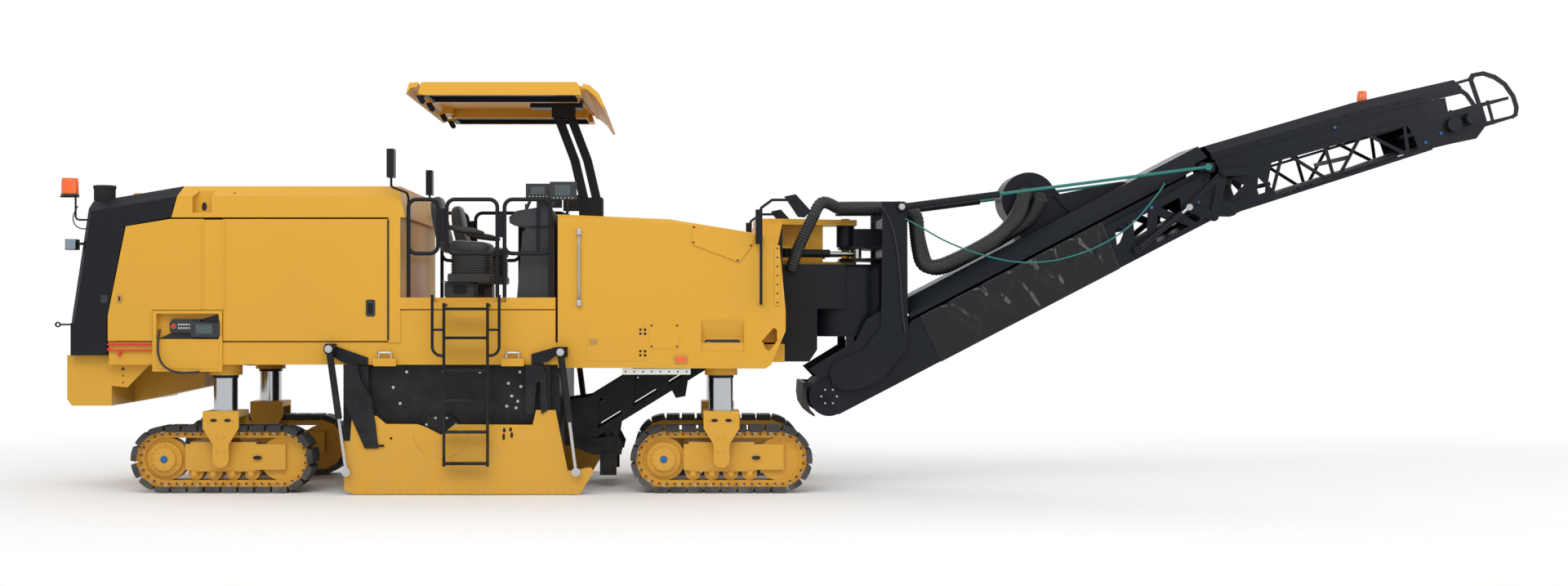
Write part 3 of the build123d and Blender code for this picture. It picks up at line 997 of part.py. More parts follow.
BOOM_TAIL = [(PULLEY[0], BOOM_LOW + 9), (1200, BOOM_LOW), (1200, 170), (COVER_FROM, 170), (690, 60), (PULLEY[0], 74)]
FLAP = [(-120, 1083), (-128, 950), (-112, 850), (-60, 765), (0, 726), (12, 742), (-40, 800), (-72, 880), (-82, 960), (-80, 1083)]
BOOM_WINDOWS = [  # openings of the lattice between the side sheet and the fold hinge, along and square
    [(3110, -150), (3180, 30), (3330, 30)],
    [(3390, 30), (3560, 30), (3420, -215), (3330, -215), (3300, -190)],
    [(3500, -290), (3640, -40), (3880, -290)],
    [(3700, 20), (3930, 20), (3870, -170)],
    [(3960, -290), (3900, -180), (4000, -60), (4150, -290)],
]
with BuildPart() as boom_frame:
    for side in (-1, 1):
        side_y = span(side, BOOM_Y - SIDE_T, BOOM_Y)
        frame_work(
            [(boom(PULLEY[0], BOOM_LOW + 30), boom(FOLD_ALONG - 60, BOOM_LOW + 30), CHORD_H)],
            [
                places(boom, BOOM_TAIL),
                places(boom, [(1200, BOOM_LOW), (BOOM_WEB, BOOM_LOW), (BOOM_WEB, 170), (1200, 170)]),
                places(boom, [(BOOM_WEB, BOOM_LOW), (4290, BOOM_LOW), (4330, -230), (4200, 110), (BOOM_WEB, 110)]),
                places(boom, [(4200, BOOM_LOW), (4300, -400), (4357, -410), (4414, -380), (4420, -330), (4350, -230)]),
            ],
            side_y,
            [places(boom, window) for window in BOOM_WINDOWS],
        )
        rod_y(boom(*PULLEY), side_y, TAIL_R)
        rod_y(boom(*PULLEY), span(side, BOOM_Y, BOOM_Y + 22), 70)
        slab(places(boom, [(690, 60), (COVER_FROM, 170), (4290, 170), (4330, 110), (4330, 60)]), span(side, 448, 460))
        rod_y(LIFT, span(side, BOOM_Y - 62, BOOM_Y), 110)
        rod_y(LIFT, span(side, BOOM_Y - 62, BOOM_Y), LIFT_R + PIN_FIT, mode=Mode.SUBTRACT)
        rod_y(fold, span(side, 420, BOOM_Y), HINGE_R)
        rod_y(CRANK_PIN, span(side, BOOM_Y, CRANK_Y[1] + 6), CRANK_PIN_R)
        rod_y(FOLD_BASE, span(side, BOOM_Y, CYL_Y + 20), FOLD_BASE_R)
        block(STAY_LUG[0], span(side, 448, 585), STAY_LUG[1])
        for along in (1000, 1560, 2120, 2680, 3240, 3800, 4240):
            slab(places(boom, [(along, 20), (along + 60, 20), (along + 60, 62), (along, 62)]), span(side, 448, BOOM_Y))
    floor = [(-150, BOOM_LOW + 5), (FOLD_ALONG - 90, BOOM_LOW + 5), (FOLD_ALONG - 90, -330), (-150, -330)]
    slab(places(boom, floor), (-BOOM_Y, BOOM_Y))
    for along in (1000, 2120, 3240, 4240):
        slab(places(boom, [(along, -20), (along + 60, -20), (along + 60, 30), (along, 30)]), (-BOOM_Y, BOOM_Y))
    rod_y(boom(*PULLEY), (-BOOM_Y, BOOM_Y), 40)
    slab(FLAP, (20 - BOOM_Y, BOOM_Y - 20))
    for side in (-1, 1):
        slab([(-118, 1083), (-118, 1045), (20, 1035), (20, 1075)], span(side, BOOM_Y - SIDE_T, BOOM_Y))
        slab([(-118, 1083), (-118, 1045), (-80, 1045), (-80, 1083)], span(side, BOOM_Y - 30, BOOM_Y))
    rod_y(boom(*PULLEY), (-BELT_Y - 20, BELT_Y + 20), PULLEY_R)
save(boom_frame, "boom_frame")


def roof(local, stations, low, crease, top, half, half_top, sheet):
    """A cover of sheet with sloping sides, its end outline carried through the stations (along, drop)."""
    side = [(half, low), (half, crease), (half_top, top)]
    inner = [(half_top - 4, top - sheet), (half - sheet, crease - 4), (half - sheet, low)]
    outline = [(-y, z) for y, z in side] + [(y, z) for y, z in side[::-1]] + inner[::-1] + [(-y, z) for y, z in inner]
    for (a0, drop0), (a1, drop1) in zip(stations, stations[1:]):
        start, ahead, end = local(a0, -drop0), local(a0 + 1, -drop0), local(a1, -drop1)
        plane = Plane(
            origin=(start[0], 0, start[1]),
            x_dir=(0, 1, 0),
            z_dir=(ahead[0] - start[0], 0, ahead[1] - start[1]),
        )
        with BuildSketch(plane) as profile:
            with BuildLine():
                Polyline(*outline, close=True)
            make_face()
        run = Vector(end[0] - start[0], 0, end[1] - start[1])
        extrude(profile.sketch, amount=run.length, dir=run)


with BuildPart() as boom_cover:
    roof(boom, [(COVER_FROM, 0), (COVER_END, 0)], *COVER_SQUARE, BOOM_Y, COVER_TOP_Y, COVER_T)
    notch = places(boom, [(4230, 190), (COVER_END + 1, 190), (COVER_END + 1, 265), (4230, 265)])
    for side in (-1, 1):
        slab(notch, span(side, BOOM_Y - 20, BOOM_Y + 1), mode=Mode.SUBTRACT)
save(boom_cover, "boom_cover")

BELT_RUN = [(900, 110), (4150, 120), (4230, 90), (4230, -150), (4150, -200)]  # over the rollers, then back
with BuildPart() as boom_belt:
    for r, inset, mode in ((PULLEY_R + BELT_T, 0, Mode.ADD), (PULLEY_R + SEAT, BELT_T, Mode.SUBTRACT)):
        run = [(x - (inset if x > 4200 else 0), y - (inset if y > 0 else -inset)) for x, y in BELT_RUN]
        loop = [(PULLEY[0], PULLEY[1] + r)] + run + [(PULLEY[0], PULLEY[1] - r)]
        slab(places(boom, loop), (-BELT_Y, BELT_Y), mode)
        rod_y(boom(*PULLEY), (-BELT_Y, BELT_Y), r, mode)
save(boom_belt, "boom_belt")

with BuildPart() as side_sheets:
    a0, a1, s0, s1 = SHEET
    for side in (-1, 1):
        slab(places(boom, [(a0, s0), (a1 - 57, s0), (a1, s1), (a0 + 13, s1)]), span(side, BOOM_Y, BOOM_Y + SHEET_T))
save(side_sheets, "side_sheets")

FAN, FAN_R, FAN_Y = (2590.0, 712.0), 288.0, 200.0  # dust fan on the cover
FAN_FOOT = [(2330, 395), (2318, 640), (2860, 800), (2960, 395)]
DUCT = [(2900, 395), (2836, 634), (3540, 431), (3590, 395)]
DUCT_Y = 230.0
FAN_INLET_R = 150.0
HOSE_R, HOSE_BEND = 75.0, 330.0
HOSES = (  # dust hoses from the fan's inlet to where they lie above the cover: along, Y, square
    [(2555, -340, 795), (2380, -352, 600), (1980, -360, 490), (1500, -372, 520)],
    [(2678, -340, 675), (2520, -250, 520), (2080, -190, 484), (1560, -190, 490)],
)
with BuildPart() as dust_unit:
    slab(places(boom, FAN_FOOT), (-FAN_Y, FAN_Y))
    rod_y(boom(*FAN), (-FAN_Y, FAN_Y), FAN_R)
    slab(places(boom, DUCT), (-DUCT_Y, DUCT_Y))
    rod_y(boom(*FAN), (-FAN_Y - 50, FAN_Y), FAN_INLET_R)
    for hose in HOSES:
        path = [(boom(u, v)[0], y, boom(u, v)[1]) for u, y, v in hose]
        tube(path, HOSE_R, HOSE_BEND)
        x, y, z = path[0]
        bar((x, -FAN_Y - 50, z), (x, y + 40, z), 70)
save(dust_unit, "dust_unit")

# ---------------------------------------------------------------- upper conveyor section
tip = inclined(fold, TIP_ANGLE)
TIP_Y = 450.0
HEAD, HEAD_R = (2659.0, 110.0), 105.0  # head pulley, along and square
TIP_LOW = -28.0  # middle of the lower chord
TIP_CHORD = ((368, 365), (2318, 257))  # middle of the upper chord
TIP_DIAGONALS = (
    ((666, 337), (438, -20)),
    ((779, 322), (1062, -20)),
    ((1144, 325), (1130, -30)),
    ((1527, 297), (1179, -30)),
    ((1598, 296), (1928, -35)),
    ((2002, 268), (1945, -35)),
)
TIP_REAR = [(-20, 34), (76, -45), (470, -45), (500, 30), (452, 130), (560, 330), (368, 420), (240, 380), (120, 300), (215, 200), (60, 120)]
TIP_REAR_WINDOW = [(330, 110), (380, 230), (430, 130), (400, 60), (330, 60)]
HEAD_PLATE = [
    (2060, -48),
    (2396, -77),
    (2669, -109),
    (2793, -21),
    (3098, -28),
    (3104, 4),
    (2830, 12),
    (2836, 186),
    (3120, 172),
    (3122, 202),
    (2800, 232),
    (2428, 250),
    (2194, 290),
    (2020, 290),
    (2060, 120),
]
HOOP = [  # guard hoop round the head, outer edge then inner edge
    (2788, 186),
    (2785, 510),
    (2830, 552),
    (2960, 535),
    (3070, 455),
    (3150, 345),
    (3196, 190),
    (3192, 60),
    (3150, -20),
    (3098, -34),
    (3098, 6),
    (3124, 14),
    (3148, 75),
    (3150, 185),
    (3108, 325),
    (3035, 420),
    (2945, 490),
    (2856, 505),
    (2830, 480),
    (2832, 186),
]
TIP_LID = [(-14, 0), (1600, 62), (2689, 170)]  # stations of the cover, along and drop
TIP_LID_SQUARE = (553.3, 626.0, 716.0)
with BuildPart() as tip_frame:
    for side in (-1, 1):
        bars = [(tip(60, TIP_LOW), tip(2200, TIP_LOW - 26), 40), (tip(*TIP_CHORD[0]), tip(*TIP_CHORD[1]), 50)]
        bars += [(tip(*a), tip(*b), 34) for a, b in TIP_DIAGONALS]
        bars += [(tip(2903, 232), tip(2887, -25), 30)]
        frame_work(
            bars,
            [places(tip, outline) for outline in (TIP_REAR, HEAD_PLATE, HOOP)],
            span(side, TIP_Y - SIDE_T, TIP_Y),
            [places(tip, TIP_REAR_WINDOW)],
        )
        trough = [(30, 340), (10, 560), (1600, 500), (2500, 400), (2480, 240), (1500, 330)]
        slab(places(tip, trough), span(side, TIP_Y - SIDE_T - 10, TIP_Y - SIDE_T))
        link(fold, tip(160, 20), span(side, TIP_Y, BOOM_Y - SIDE_T - 6), 56)
        rod_y(fold, span(side, 400, BOOM_Y), HINGE_R + PIN_FIT, mode=Mode.SUBTRACT)
        rod_y(TIP_LINK, span(side, TIP_Y, LINK_Y[0] - 7), 25)
        rod_y(tip(*HEAD), span(side, TIP_Y, TIP_Y + 90), 62)
        rod_y(tip(2480, 105), span(side, TIP_Y, TIP_Y + 60), 75)
    slab(places(tip, [(100, -44), (1500, -60), (1500, -50), (100, -34)]), (SIDE_T - TIP_Y, TIP_Y - SIDE_T))
    for along in (420, 1300, 2200):
        slab(places(tip, [(along, 110), (along + 60, 110), (along + 60, 150), (along, 150)]), (-TIP_Y, TIP_Y))
    for at in ((3098, 188), (3098, -14), (2810, 500)):
        rod_y(tip(*at), (-TIP_Y, TIP_Y), 16)
    rod_y(tip(*HEAD), (-TIP_Y, TIP_Y), 40)
    rod_y(tip(*HEAD), (50 - TIP_Y, TIP_Y - 50), HEAD_R)
save(tip_frame, "tip_frame")

with BuildPart() as tip_cover:
    roof(tip, TIP_LID, *TIP_LID_SQUARE, TIP_Y, 330.0, COVER_T)
save(tip_cover, "tip_cover")

TIP_RUN = [(1650, -20), (200, 0), (84, 70), (84, 260), (150, 310)]
with BuildPart() as tip_belt:
    for r, inset, mode in ((HEAD_R + BELT_T, 0, Mode.ADD), (HEAD_R + SEAT, BELT_T, Mode.SUBTRACT)):
        run = [(x + (inset if x < 100 else 0), y + (inset if y < 80 else -inset)) for x, y in TIP_RUN]
        loop = [(HEAD[0], HEAD[1] - r)] + run + [(HEAD[0], HEAD[1] + r)]
        slab(places(tip, loop), (60 - TIP_Y, TIP_Y - 60), mode)
        rod_y(tip(*HEAD), (60 - TIP_Y, TIP_Y - 60), r, mode)
save(tip_belt, "tip_belt")

# ---------------------------------------------------------------- fold linkage
with BuildPart() as fold_crank:
    for side in (-1, 1):
        y = span(side, *CRANK_Y)
        link(CRANK_PIN, CRANK_EYE, y, 46)
        link(CRANK_PIN, CRANK_TOP, y, 46)
        link(CRANK_EYE, CRANK_TOP, y, 30)
        rod_y(CRANK_PIN, y, CRANK_PIN_R + PIN_FIT, mode=Mode.SUBTRACT)
        rod_y(CRANK_TOP, span(side, CRANK_Y[1], LINK_Y[1] + 5), CRANK_TOP_R)
save(fold_crank, "fold_crank")

with BuildPart() as fold_link:
    for side in (-1, 1):
        link(CRANK_TOP, TIP_LINK, span(side, *LINK_Y), 40)
        rod_y(CRANK_TOP, span(side, *LINK_Y), CRANK_TOP_R + PIN_FIT, mode=Mode.SUBTRACT)
save(fold_link, "fold_link")

FOLD_BARREL_R, FOLD_ROD_R = 32.0, 16.0
with BuildPart() as fold_barrels:
    for side in (-1, 1):
        start, bore, end = (towards(FOLD_BASE, CRANK_EYE, d) for d in (30, 80, 600))
        bar((start[0], side * CYL_Y, start[1]), (end[0], side * CYL_Y, end[1]), FOLD_BARREL_R)
        eye_y = span(side, CYL_Y - 25, CYL_Y + 20)
        rod_y(FOLD_BASE, eye_y, 40)
        rod_y(FOLD_BASE, eye_y, FOLD_BASE_R + PIN_FIT, mode=Mode.SUBTRACT)
        bar((bore[0], side * CYL_Y, bore[1]), (end[0], side * CYL_Y, end[1]), FOLD_ROD_R + PIN_FIT, mode=Mode.SUBTRACT)
save(fold_barrels, "fold_barrels")

with BuildPart() as fold_rods:
    for side in (-1, 1):
        start = towards(FOLD_BASE, CRANK_EYE, 100)
        bar((start[0], side * CYL_Y, start[1]), (CRANK_EYE[0], side * CYL_Y, CRANK_EYE[1]), FOLD_ROD_R)
        rod_y(CRANK_EYE, span(side, CYL_Y - 22, CYL_Y + 22), 34)
save(fold_rods, "fold_rods")

# ---------------------------------------------------------------- lift cylinders and stays
STAY_END = (4070.0, 3316.0)
STAY_L = 1021.0
LIFT_ROD_R = 16.0
with BuildPart() as lift_barrels:
    for side in (-1, 1):
        a, b = towards(STAY_PIN, STAY_END, 30), towards(STAY_PIN, STAY_END, STAY_L)
        bar((a[0], side * STAY_Y, a[1]), (b[0], side * STAY_Y, b[1]), 34)
        rod_y(STAY_PIN, span(side, STAY_Y - 30, STAY_Y + 30), 45)
        rod_y(STAY_PIN, span(side, STAY_Y - 30, STAY_Y + 30), STAY_PIN_R + PIN_FIT, mode=Mode.SUBTRACT)
        a = towards(STAY_PIN, STAY_END, 80)
        bar((a[0], side * STAY_Y, a[1]), (b[0], side * STAY_Y, b[1]), LIFT_ROD_R + PIN_FIT, mode=Mode.SUBTRACT)
save(lift_barrels, "lift_barrels")

with BuildPart() as lift_rods:
    for side in (-1, 1):
        a = towards(STAY_PIN, STAY_END, 270)
        bar((a[0], side * STAY_Y, a[1]), (STAY_END[0], side * STAY_Y, STAY_END[1]), LIFT_ROD_R)
        rod_y(STAY_END, span(side, STAY_Y - 15, STAY_Y + 15), 36)
save(lift_rods, "lift_rods")

# ---------------------------------------------------------------- safety cable
CABLE_R = 8.0
CABLE = [
    (935.0, -POST_Y[1] - SEAT, 2780.0),
    (935.0, -650.0, 2780.0),
    (1500.0, -650.0, 2450.0),
    (2300.0, -650.0, 2270.0),
    (3150.0, -650.0, 2560.0),
    (3637.0, -650.0, 3153.0),
    (3637.0, -BOOM_Y - SEAT, 3153.0),
]
CABLE_BENDS = [34.0, 900.0, 1200.0, 1100.0, 60.0]
with BuildPart() as safety_cable:
    tube(CABLE, CABLE_R, CABLE_BENDS)
save(safety_cable, "safety_cable")
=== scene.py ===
# %% [markdown]
# # A cold planer, dressed for the camera
# This lesson takes the machine's rigid pieces as they come from the drawing and gives them their finish:
# satin yellow and black paint, road dust, rubber, chrome and vinyl. Small pieces that a drawing leaves out,
# such as bolt heads, hose ribs, seat cushions and display screens, are made here as surfaces worked out
# with numpy. First comes the frame, with every piece in its place, in metres.

# %% Load the frame
import json
from math import cos, pi, radians, sin

import bmesh
import bpy
import numpy as np
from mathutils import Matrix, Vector

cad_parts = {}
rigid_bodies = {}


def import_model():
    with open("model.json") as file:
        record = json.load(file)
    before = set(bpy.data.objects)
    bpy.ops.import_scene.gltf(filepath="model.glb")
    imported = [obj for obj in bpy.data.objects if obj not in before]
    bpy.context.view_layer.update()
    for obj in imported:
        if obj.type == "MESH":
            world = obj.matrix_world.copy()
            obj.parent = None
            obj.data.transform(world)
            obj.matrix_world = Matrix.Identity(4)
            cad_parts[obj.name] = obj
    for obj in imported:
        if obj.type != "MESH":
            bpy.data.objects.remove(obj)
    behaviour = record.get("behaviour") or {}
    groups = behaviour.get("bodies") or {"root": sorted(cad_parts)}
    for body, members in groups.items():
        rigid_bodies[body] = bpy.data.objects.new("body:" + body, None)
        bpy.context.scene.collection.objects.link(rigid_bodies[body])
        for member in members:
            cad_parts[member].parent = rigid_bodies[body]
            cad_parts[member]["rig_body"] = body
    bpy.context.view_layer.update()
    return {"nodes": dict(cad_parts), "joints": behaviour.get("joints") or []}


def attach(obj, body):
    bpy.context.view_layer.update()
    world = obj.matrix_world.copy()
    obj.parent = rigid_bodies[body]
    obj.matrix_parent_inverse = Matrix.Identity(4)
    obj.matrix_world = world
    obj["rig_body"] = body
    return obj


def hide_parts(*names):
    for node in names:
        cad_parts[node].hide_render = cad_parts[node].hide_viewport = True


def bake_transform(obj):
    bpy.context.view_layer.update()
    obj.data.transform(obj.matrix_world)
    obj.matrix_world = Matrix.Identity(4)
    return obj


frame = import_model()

nodes = frame["nodes"]
joints = {joint["name"]: joint for joint in frame["joints"]}

# %% [markdown]
# ## Places on the machine
# The machine is drawn in millimetres ahead of a datum, and the frame puts the origin under its middle.
# The swing axis of the conveyor is at 370 mm on the drawing and its joint says where it is in the frame, so
# the difference moves any drawing point into the frame. The conveyor's two sections lie at an angle, so they
# get axes of their own: "along" the belt and "square" to it.

# %% Drawing millimetres to frame metres
DRAWN_SWING_X = 370.0
DATUM_X = joints["conveyor_swing"]["pos_m"][0] * 1000 - DRAWN_SWING_X


def at(x, y, z):
    """Drawing millimetres, single numbers or arrays, as frame metres: x moves by the datum."""
    x, y, z = np.broadcast_arrays(x, y, z)
    return np.stack([x + DATUM_X, y, z], axis=-1) / 1000.0


def inclined(origin, angle):
    """A slope's own axes: along it and square to it, turned by the angle about the origin."""
    c, s = cos(radians(angle)), sin(radians(angle))

    def place(along, y, square):
        along, y, square = np.broadcast_arrays(along, y, square)
        return at(origin[0] + along * c - square * s, y, origin[1] + along * s + square * c)

    return place


on_boom = inclined((326.0, 1175.0), 27.5)
on_tip = inclined((4350.01, 2880.82), 18.5)
SIDES = (("right", -1), ("left", 1))
print("datum", DATUM_X)

# %% [markdown]
# ## Mesh helpers
# Every new piece is a grid of points. A grid that wraps round becomes a tube or a ring, and its open ends are
# closed with a cap, so the piece is a closed body with its faces outward. One helper turns a grid into a
# mesh, and a second carries a round profile along a path.

# %% Grid to mesh
def grid_faces(rows, columns, wrap_rows, wrap_columns):
    """Indices of the four corners of every cell of a grid, as one array."""
    r = np.arange(rows if wrap_rows else rows - 1)
    c = np.arange(columns if wrap_columns else columns - 1)
    r, c = np.meshgrid(r, c, indexing="ij")
    r2, c2 = (r + 1) % rows, (c + 1) % columns
    corners = [r * columns + c, r * columns + c2, r2 * columns + c2, r2 * columns + c]
    return np.stack(corners, -1).reshape(-1, 4)


def build(name, points, faces, material, body, smooth=True, outward=True):
    """Points and faces become an object at the origin that rides on a body and takes the material's slot."""
    mesh = bpy.data.meshes.new(name)
    mesh.from_pydata(np.asarray(points).reshape(-1, 3).tolist(), [], [list(map(int, f)) for f in faces])
    mesh.materials.append(material)
    mesh.polygons.foreach_set("use_smooth", np.full(len(mesh.polygons), smooth))
    mesh.validate()
    mesh.update()
    piece = bpy.data.objects.new(name, mesh)
    bpy.context.scene.collection.objects.link(piece)
    if outward:
        shell = bmesh.new()
        shell.from_mesh(mesh)
        bmesh.ops.recalc_face_normals(shell, faces=shell.faces)
        shell.to_mesh(mesh)
        shell.free()
    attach(piece, body)
    return piece


def closed_tube(name, rings, material, body, smooth=True):
    """Rings of points, one after another, as a tube with both ends capped."""
    rings = np.asarray(rings)
    count, around = rings.shape[:2]
    faces = [list(f) for f in grid_faces(count, around, False, True)]
    faces += [list(range(around))[::-1], [(count - 1) * around + k for k in range(around)]]
    return build(name, rings, faces, material, body, smooth)


def carried(path, profile):
    """A profile carried along a path: each ring is path + e1 * profile x + e2 * profile y, with e1 and e2
    square to the path."""
    path, profile = np.asarray(path, float), np.asarray(profile, float)
    along = np.gradient(path, axis=0)
    along /= np.linalg.norm(along, axis=1, keepdims=True)
    side = np.array([0.0, 1.0, 0.0]) if np.abs(along[:, 1]).max() < 0.9 else np.array([0.0, 0.0, 1.0])
    if np.abs(along @ side).max() > 0.97:
        side = np.array([1.0, 0.0, 0.0])
    e1 = np.cross(along, side)
    e1 /= np.linalg.norm(e1, axis=1, keepdims=True)
    e2 = np.cross(along, e1)
    if profile.ndim == 2:
        profile = np.broadcast_to(profile, (len(path), *profile.shape))
    return path[:, None] + e1[:, None] * profile[..., :1] + e2[:, None] * profile[..., 1:]


def circle(radius, sides=16):
    """A round profile: radius times the cosine and sine of equal steps."""
    turn = np.linspace(0, 2 * pi, sides, endpoint=False)
    return radius * np.stack([np.cos(turn), np.sin(turn)], -1)


def smooth_path(points, count=80):
    """A soft curve that starts and ends at the outer points and leans towards the others, by the weights
    (1-t)^2, 2t(1-t), t^2 of neighbouring stretches joined at their middles."""
    p = np.asarray(points, float)
    if len(p) == 2:
        return p[0] + (p[1] - p[0]) * np.linspace(0, 1, 6)[:, None]
    ends = np.concatenate([p[:1], (p[1:-2] + p[2:-1]) / 2, p[-1:]])
    t = np.linspace(0, 1, max(4, count // (len(p) - 2)))[:, None]
    runs = [(1 - t) ** 2 * a + 2 * t * (1 - t) * m + t**2 * b for a, m, b in zip(ends, p[1:-1], ends[1:])]
    return np.concatenate([run[: None if k == len(runs) - 1 else -1] for k, run in enumerate(runs)])


def rod(name, points, radius, material, body, sides=14, count=60):
    """A round bar or pipe that follows soft-cornered points, radius in metres."""
    return closed_tube(name, carried(smooth_path(points, count), circle(radius, sides)), material, body)


# %% [markdown]
# ## Flat pieces and bolt heads
# A plate is its outline carried through its thickness. Real sheet has no knife edges, so a small Bevel
# modifier rounds them and catches the light. Bolt heads come by the hundred, so each is a dome of a few
# faces, and all the heads of one piece are one mesh made by adding the same small array to every centre.

# %% Plates and bolts
def plate(name, outline, y, material, body, bevel=0.003):
    """An outline of (x, z) carried across the machine from y[0] to y[1], with its edges rounded."""
    outline = np.asarray(outline, float)
    rings = [at(outline[:, 0], y_end, outline[:, 1]) for y_end in y]
    piece = closed_tube(name, rings, material, body, smooth=False)
    if bevel:
        modifier = piece.modifiers.new("edge", "BEVEL")
        modifier.width, modifier.segments, modifier.limit_method = bevel, 2, "ANGLE"
    return piece


def box_outline(x, z, corner=0.0):
    """A rectangle's outline, with its corners cut by the corner value."""
    c = corner
    if not c:
        return [(x[0], z[0]), (x[1], z[0]), (x[1], z[1]), (x[0], z[1])]
    return [
        (x[0] + c, z[0]), (x[1] - c, z[0]), (x[1], z[0] + c), (x[1], z[1] - c),
        (x[1] - c, z[1]), (x[0] + c, z[1]), (x[0], z[1] - c), (x[0], z[0] + c),
    ]


def ring_outline(middle, half, count=32):
    """An oval's outline: middle plus half sizes times cosine and sine."""
    turn = np.linspace(0, 2 * pi, count, endpoint=False)
    return np.stack([middle[0] + half[0] * np.cos(turn), middle[1] + half[1] * np.sin(turn)], -1)


HEAD_RINGS = ((1.3, -0.1), (1.3, 0.25), (0.95, 0.3), (0.85, 1.0))  # share of the radius, share of the height
HEAD_SIDES = 8


def bolts(name, centres, normal, radius, material, body, height=None):
    """Domed heads with a washer: the same rings of points, added to every centre along the normal."""
    centres, n = np.asarray(centres, float).reshape(-1, 3), np.asarray(normal, float)
    n = n / np.linalg.norm(n)
    helper = np.array([1.0, 0, 0]) if abs(n[0]) < 0.9 else np.array([0, 0, 1.0])
    a = np.cross(n, helper)
    a /= np.linalg.norm(a)
    b = np.cross(n, a)
    height = height or radius * 0.8
    turn = np.arange(HEAD_SIDES) * 2 * pi / HEAD_SIDES
    round_ = radius * (np.cos(turn)[:, None] * a + np.sin(turn)[:, None] * b)
    head = np.concatenate([scale * round_ + n * height * lift for scale, lift in HEAD_RINGS])
    points = (centres[:, None] + head[None]).reshape(-1, 3)
    first = np.arange(len(centres))[:, None] * len(head)
    quads = grid_faces(len(HEAD_RINGS), HEAD_SIDES, False, True)
    rim = np.arange(HEAD_SIDES)
    faces = [*(quads[None] + first[:, None]).reshape(-1, 4)]
    faces += [*(rim[::-1] + first), *(len(head) - HEAD_SIDES + rim + first)]
    return build(name, points, faces, material, body, smooth=False)


def heads(name, side, x, y, z, radius, material, body="base", height=None):
    """Bolt heads on one side of the machine, at drawing places whose y counts outwards."""
    return bolts(name, at(x, side * y, z), (0, side, 0), radius, material, body, height)


def panel(name, side, outline, y, material, body="base", bevel=0.003):
    """A plate on one side of the machine, from y[0] to y[1] outwards."""
    return plate(name, outline, (side * y[0], side * y[1]), material, body, bevel)


def pipe(name, side, points, radius, material, body="base", sides=14):
    """A rod on one side of the machine through drawing points whose y counts outwards."""
    x, y, z = np.asarray(points, float).T
    return rod(name, at(x, side * y, z), radius, material, body, sides)


# %% [markdown]
# ## Effects that finishes share
# Three small node groups do the work that several materials need. The first varies a paint's colour a
# little, as a sprayed panel does. The second lays pale road dust on the lower parts, thinning out upwards.
# The third is the fine orange-peel grain that a bump uses. They read Object coordinates, so they stay on
# the piece when it moves.

# %% Node groups
def new_group(name, inputs, outputs):
    """A shader node group with named sockets; returns the tree with its input and output nodes."""
    tree = bpy.data.node_groups.new(name, "ShaderNodeTree")
    for socket, kind, value in inputs:
        made = tree.interface.new_socket(socket, in_out="INPUT", socket_type=kind)
        made.default_value = value
    for socket, kind in outputs:
        tree.interface.new_socket(socket, in_out="OUTPUT", socket_type=kind)
    return tree, tree.nodes.new("NodeGroupInput"), tree.nodes.new("NodeGroupOutput")


def noise_node(tree, vector, scale, detail, roughness=0.55):
    """A noise texture that reads a vector at a scale per metre."""
    node = tree.nodes.new("ShaderNodeTexNoise")
    node.inputs["Scale"].default_value = scale
    node.inputs["Detail"].default_value = detail
    node.inputs["Roughness"].default_value = roughness
    tree.links.new(vector, node.inputs["Vector"])
    return node


def ranged(tree, value, low, high, to_low=0.0, to_high=1.0):
    """A value's range low..high mapped to to_low..to_high, held at its ends."""
    node = tree.nodes.new("ShaderNodeMapRange")
    for socket, number in zip(("From Min", "From Max", "To Min", "To Max"), (low, high, to_low, to_high)):
        node.inputs[socket].default_value = number
    tree.links.new(value, node.inputs["Value"])
    return node.outputs["Result"]


def maths(tree, operation, a, b):
    """One arithmetic node on two values, either of which may be a plain number."""
    node = tree.nodes.new("ShaderNodeMath")
    node.operation = operation
    for socket, value in zip(node.inputs, (a, b)):
        if isinstance(value, (int, float)):
            socket.default_value = value
        else:
            tree.links.new(value, socket)
    return node.outputs["Value"]


def mixed(tree, factor, a, b, blend="MIX"):
    """Two colours mixed by a factor; each may be a socket or a plain colour."""
    node = tree.nodes.new("ShaderNodeMix")
    node.data_type, node.blend_type = "RGBA", blend
    for socket, value in zip((node.inputs[0], node.inputs[6], node.inputs[7]), (factor, a, b)):
        if hasattr(value, "is_linked"):
            tree.links.new(value, socket)
        else:
            socket.default_value = value if isinstance(value, float) else (*value[:3], 1.0)
    return node.outputs[2]


def make_mottle():
    """Colour shift of a sprayed panel: slow noise lightens and darkens the colour by Shift."""
    colour = ("Colour", "NodeSocketColor", (1, 1, 1, 1))
    tree, start, end = new_group("sprayed_mottle", [colour, ("Shift", "NodeSocketFloat", 0.1)],
                                 [("Colour", "NodeSocketColor"), ("Mask", "NodeSocketFloat")])
    place = tree.nodes.new("ShaderNodeTexCoord").outputs["Object"]
    slow = noise_node(tree, place, 0.9, 4.0).outputs["Fac"]
    fast = noise_node(tree, place, 34.0, 3.0).outputs["Fac"]
    mask = maths(tree, "ADD", maths(tree, "MULTIPLY", slow, 0.8), maths(tree, "MULTIPLY", fast, 0.2))
    factor = maths(tree, "MULTIPLY", ranged(tree, mask, 0.35, 0.7), start.outputs["Shift"])
    dark = mixed(tree, 1.0, start.outputs["Colour"], (0.62, 0.6, 0.58), "MULTIPLY")
    tree.links.new(mixed(tree, factor, start.outputs["Colour"], dark), end.inputs["Colour"])
    tree.links.new(mask, end.inputs["Mask"])
    return tree


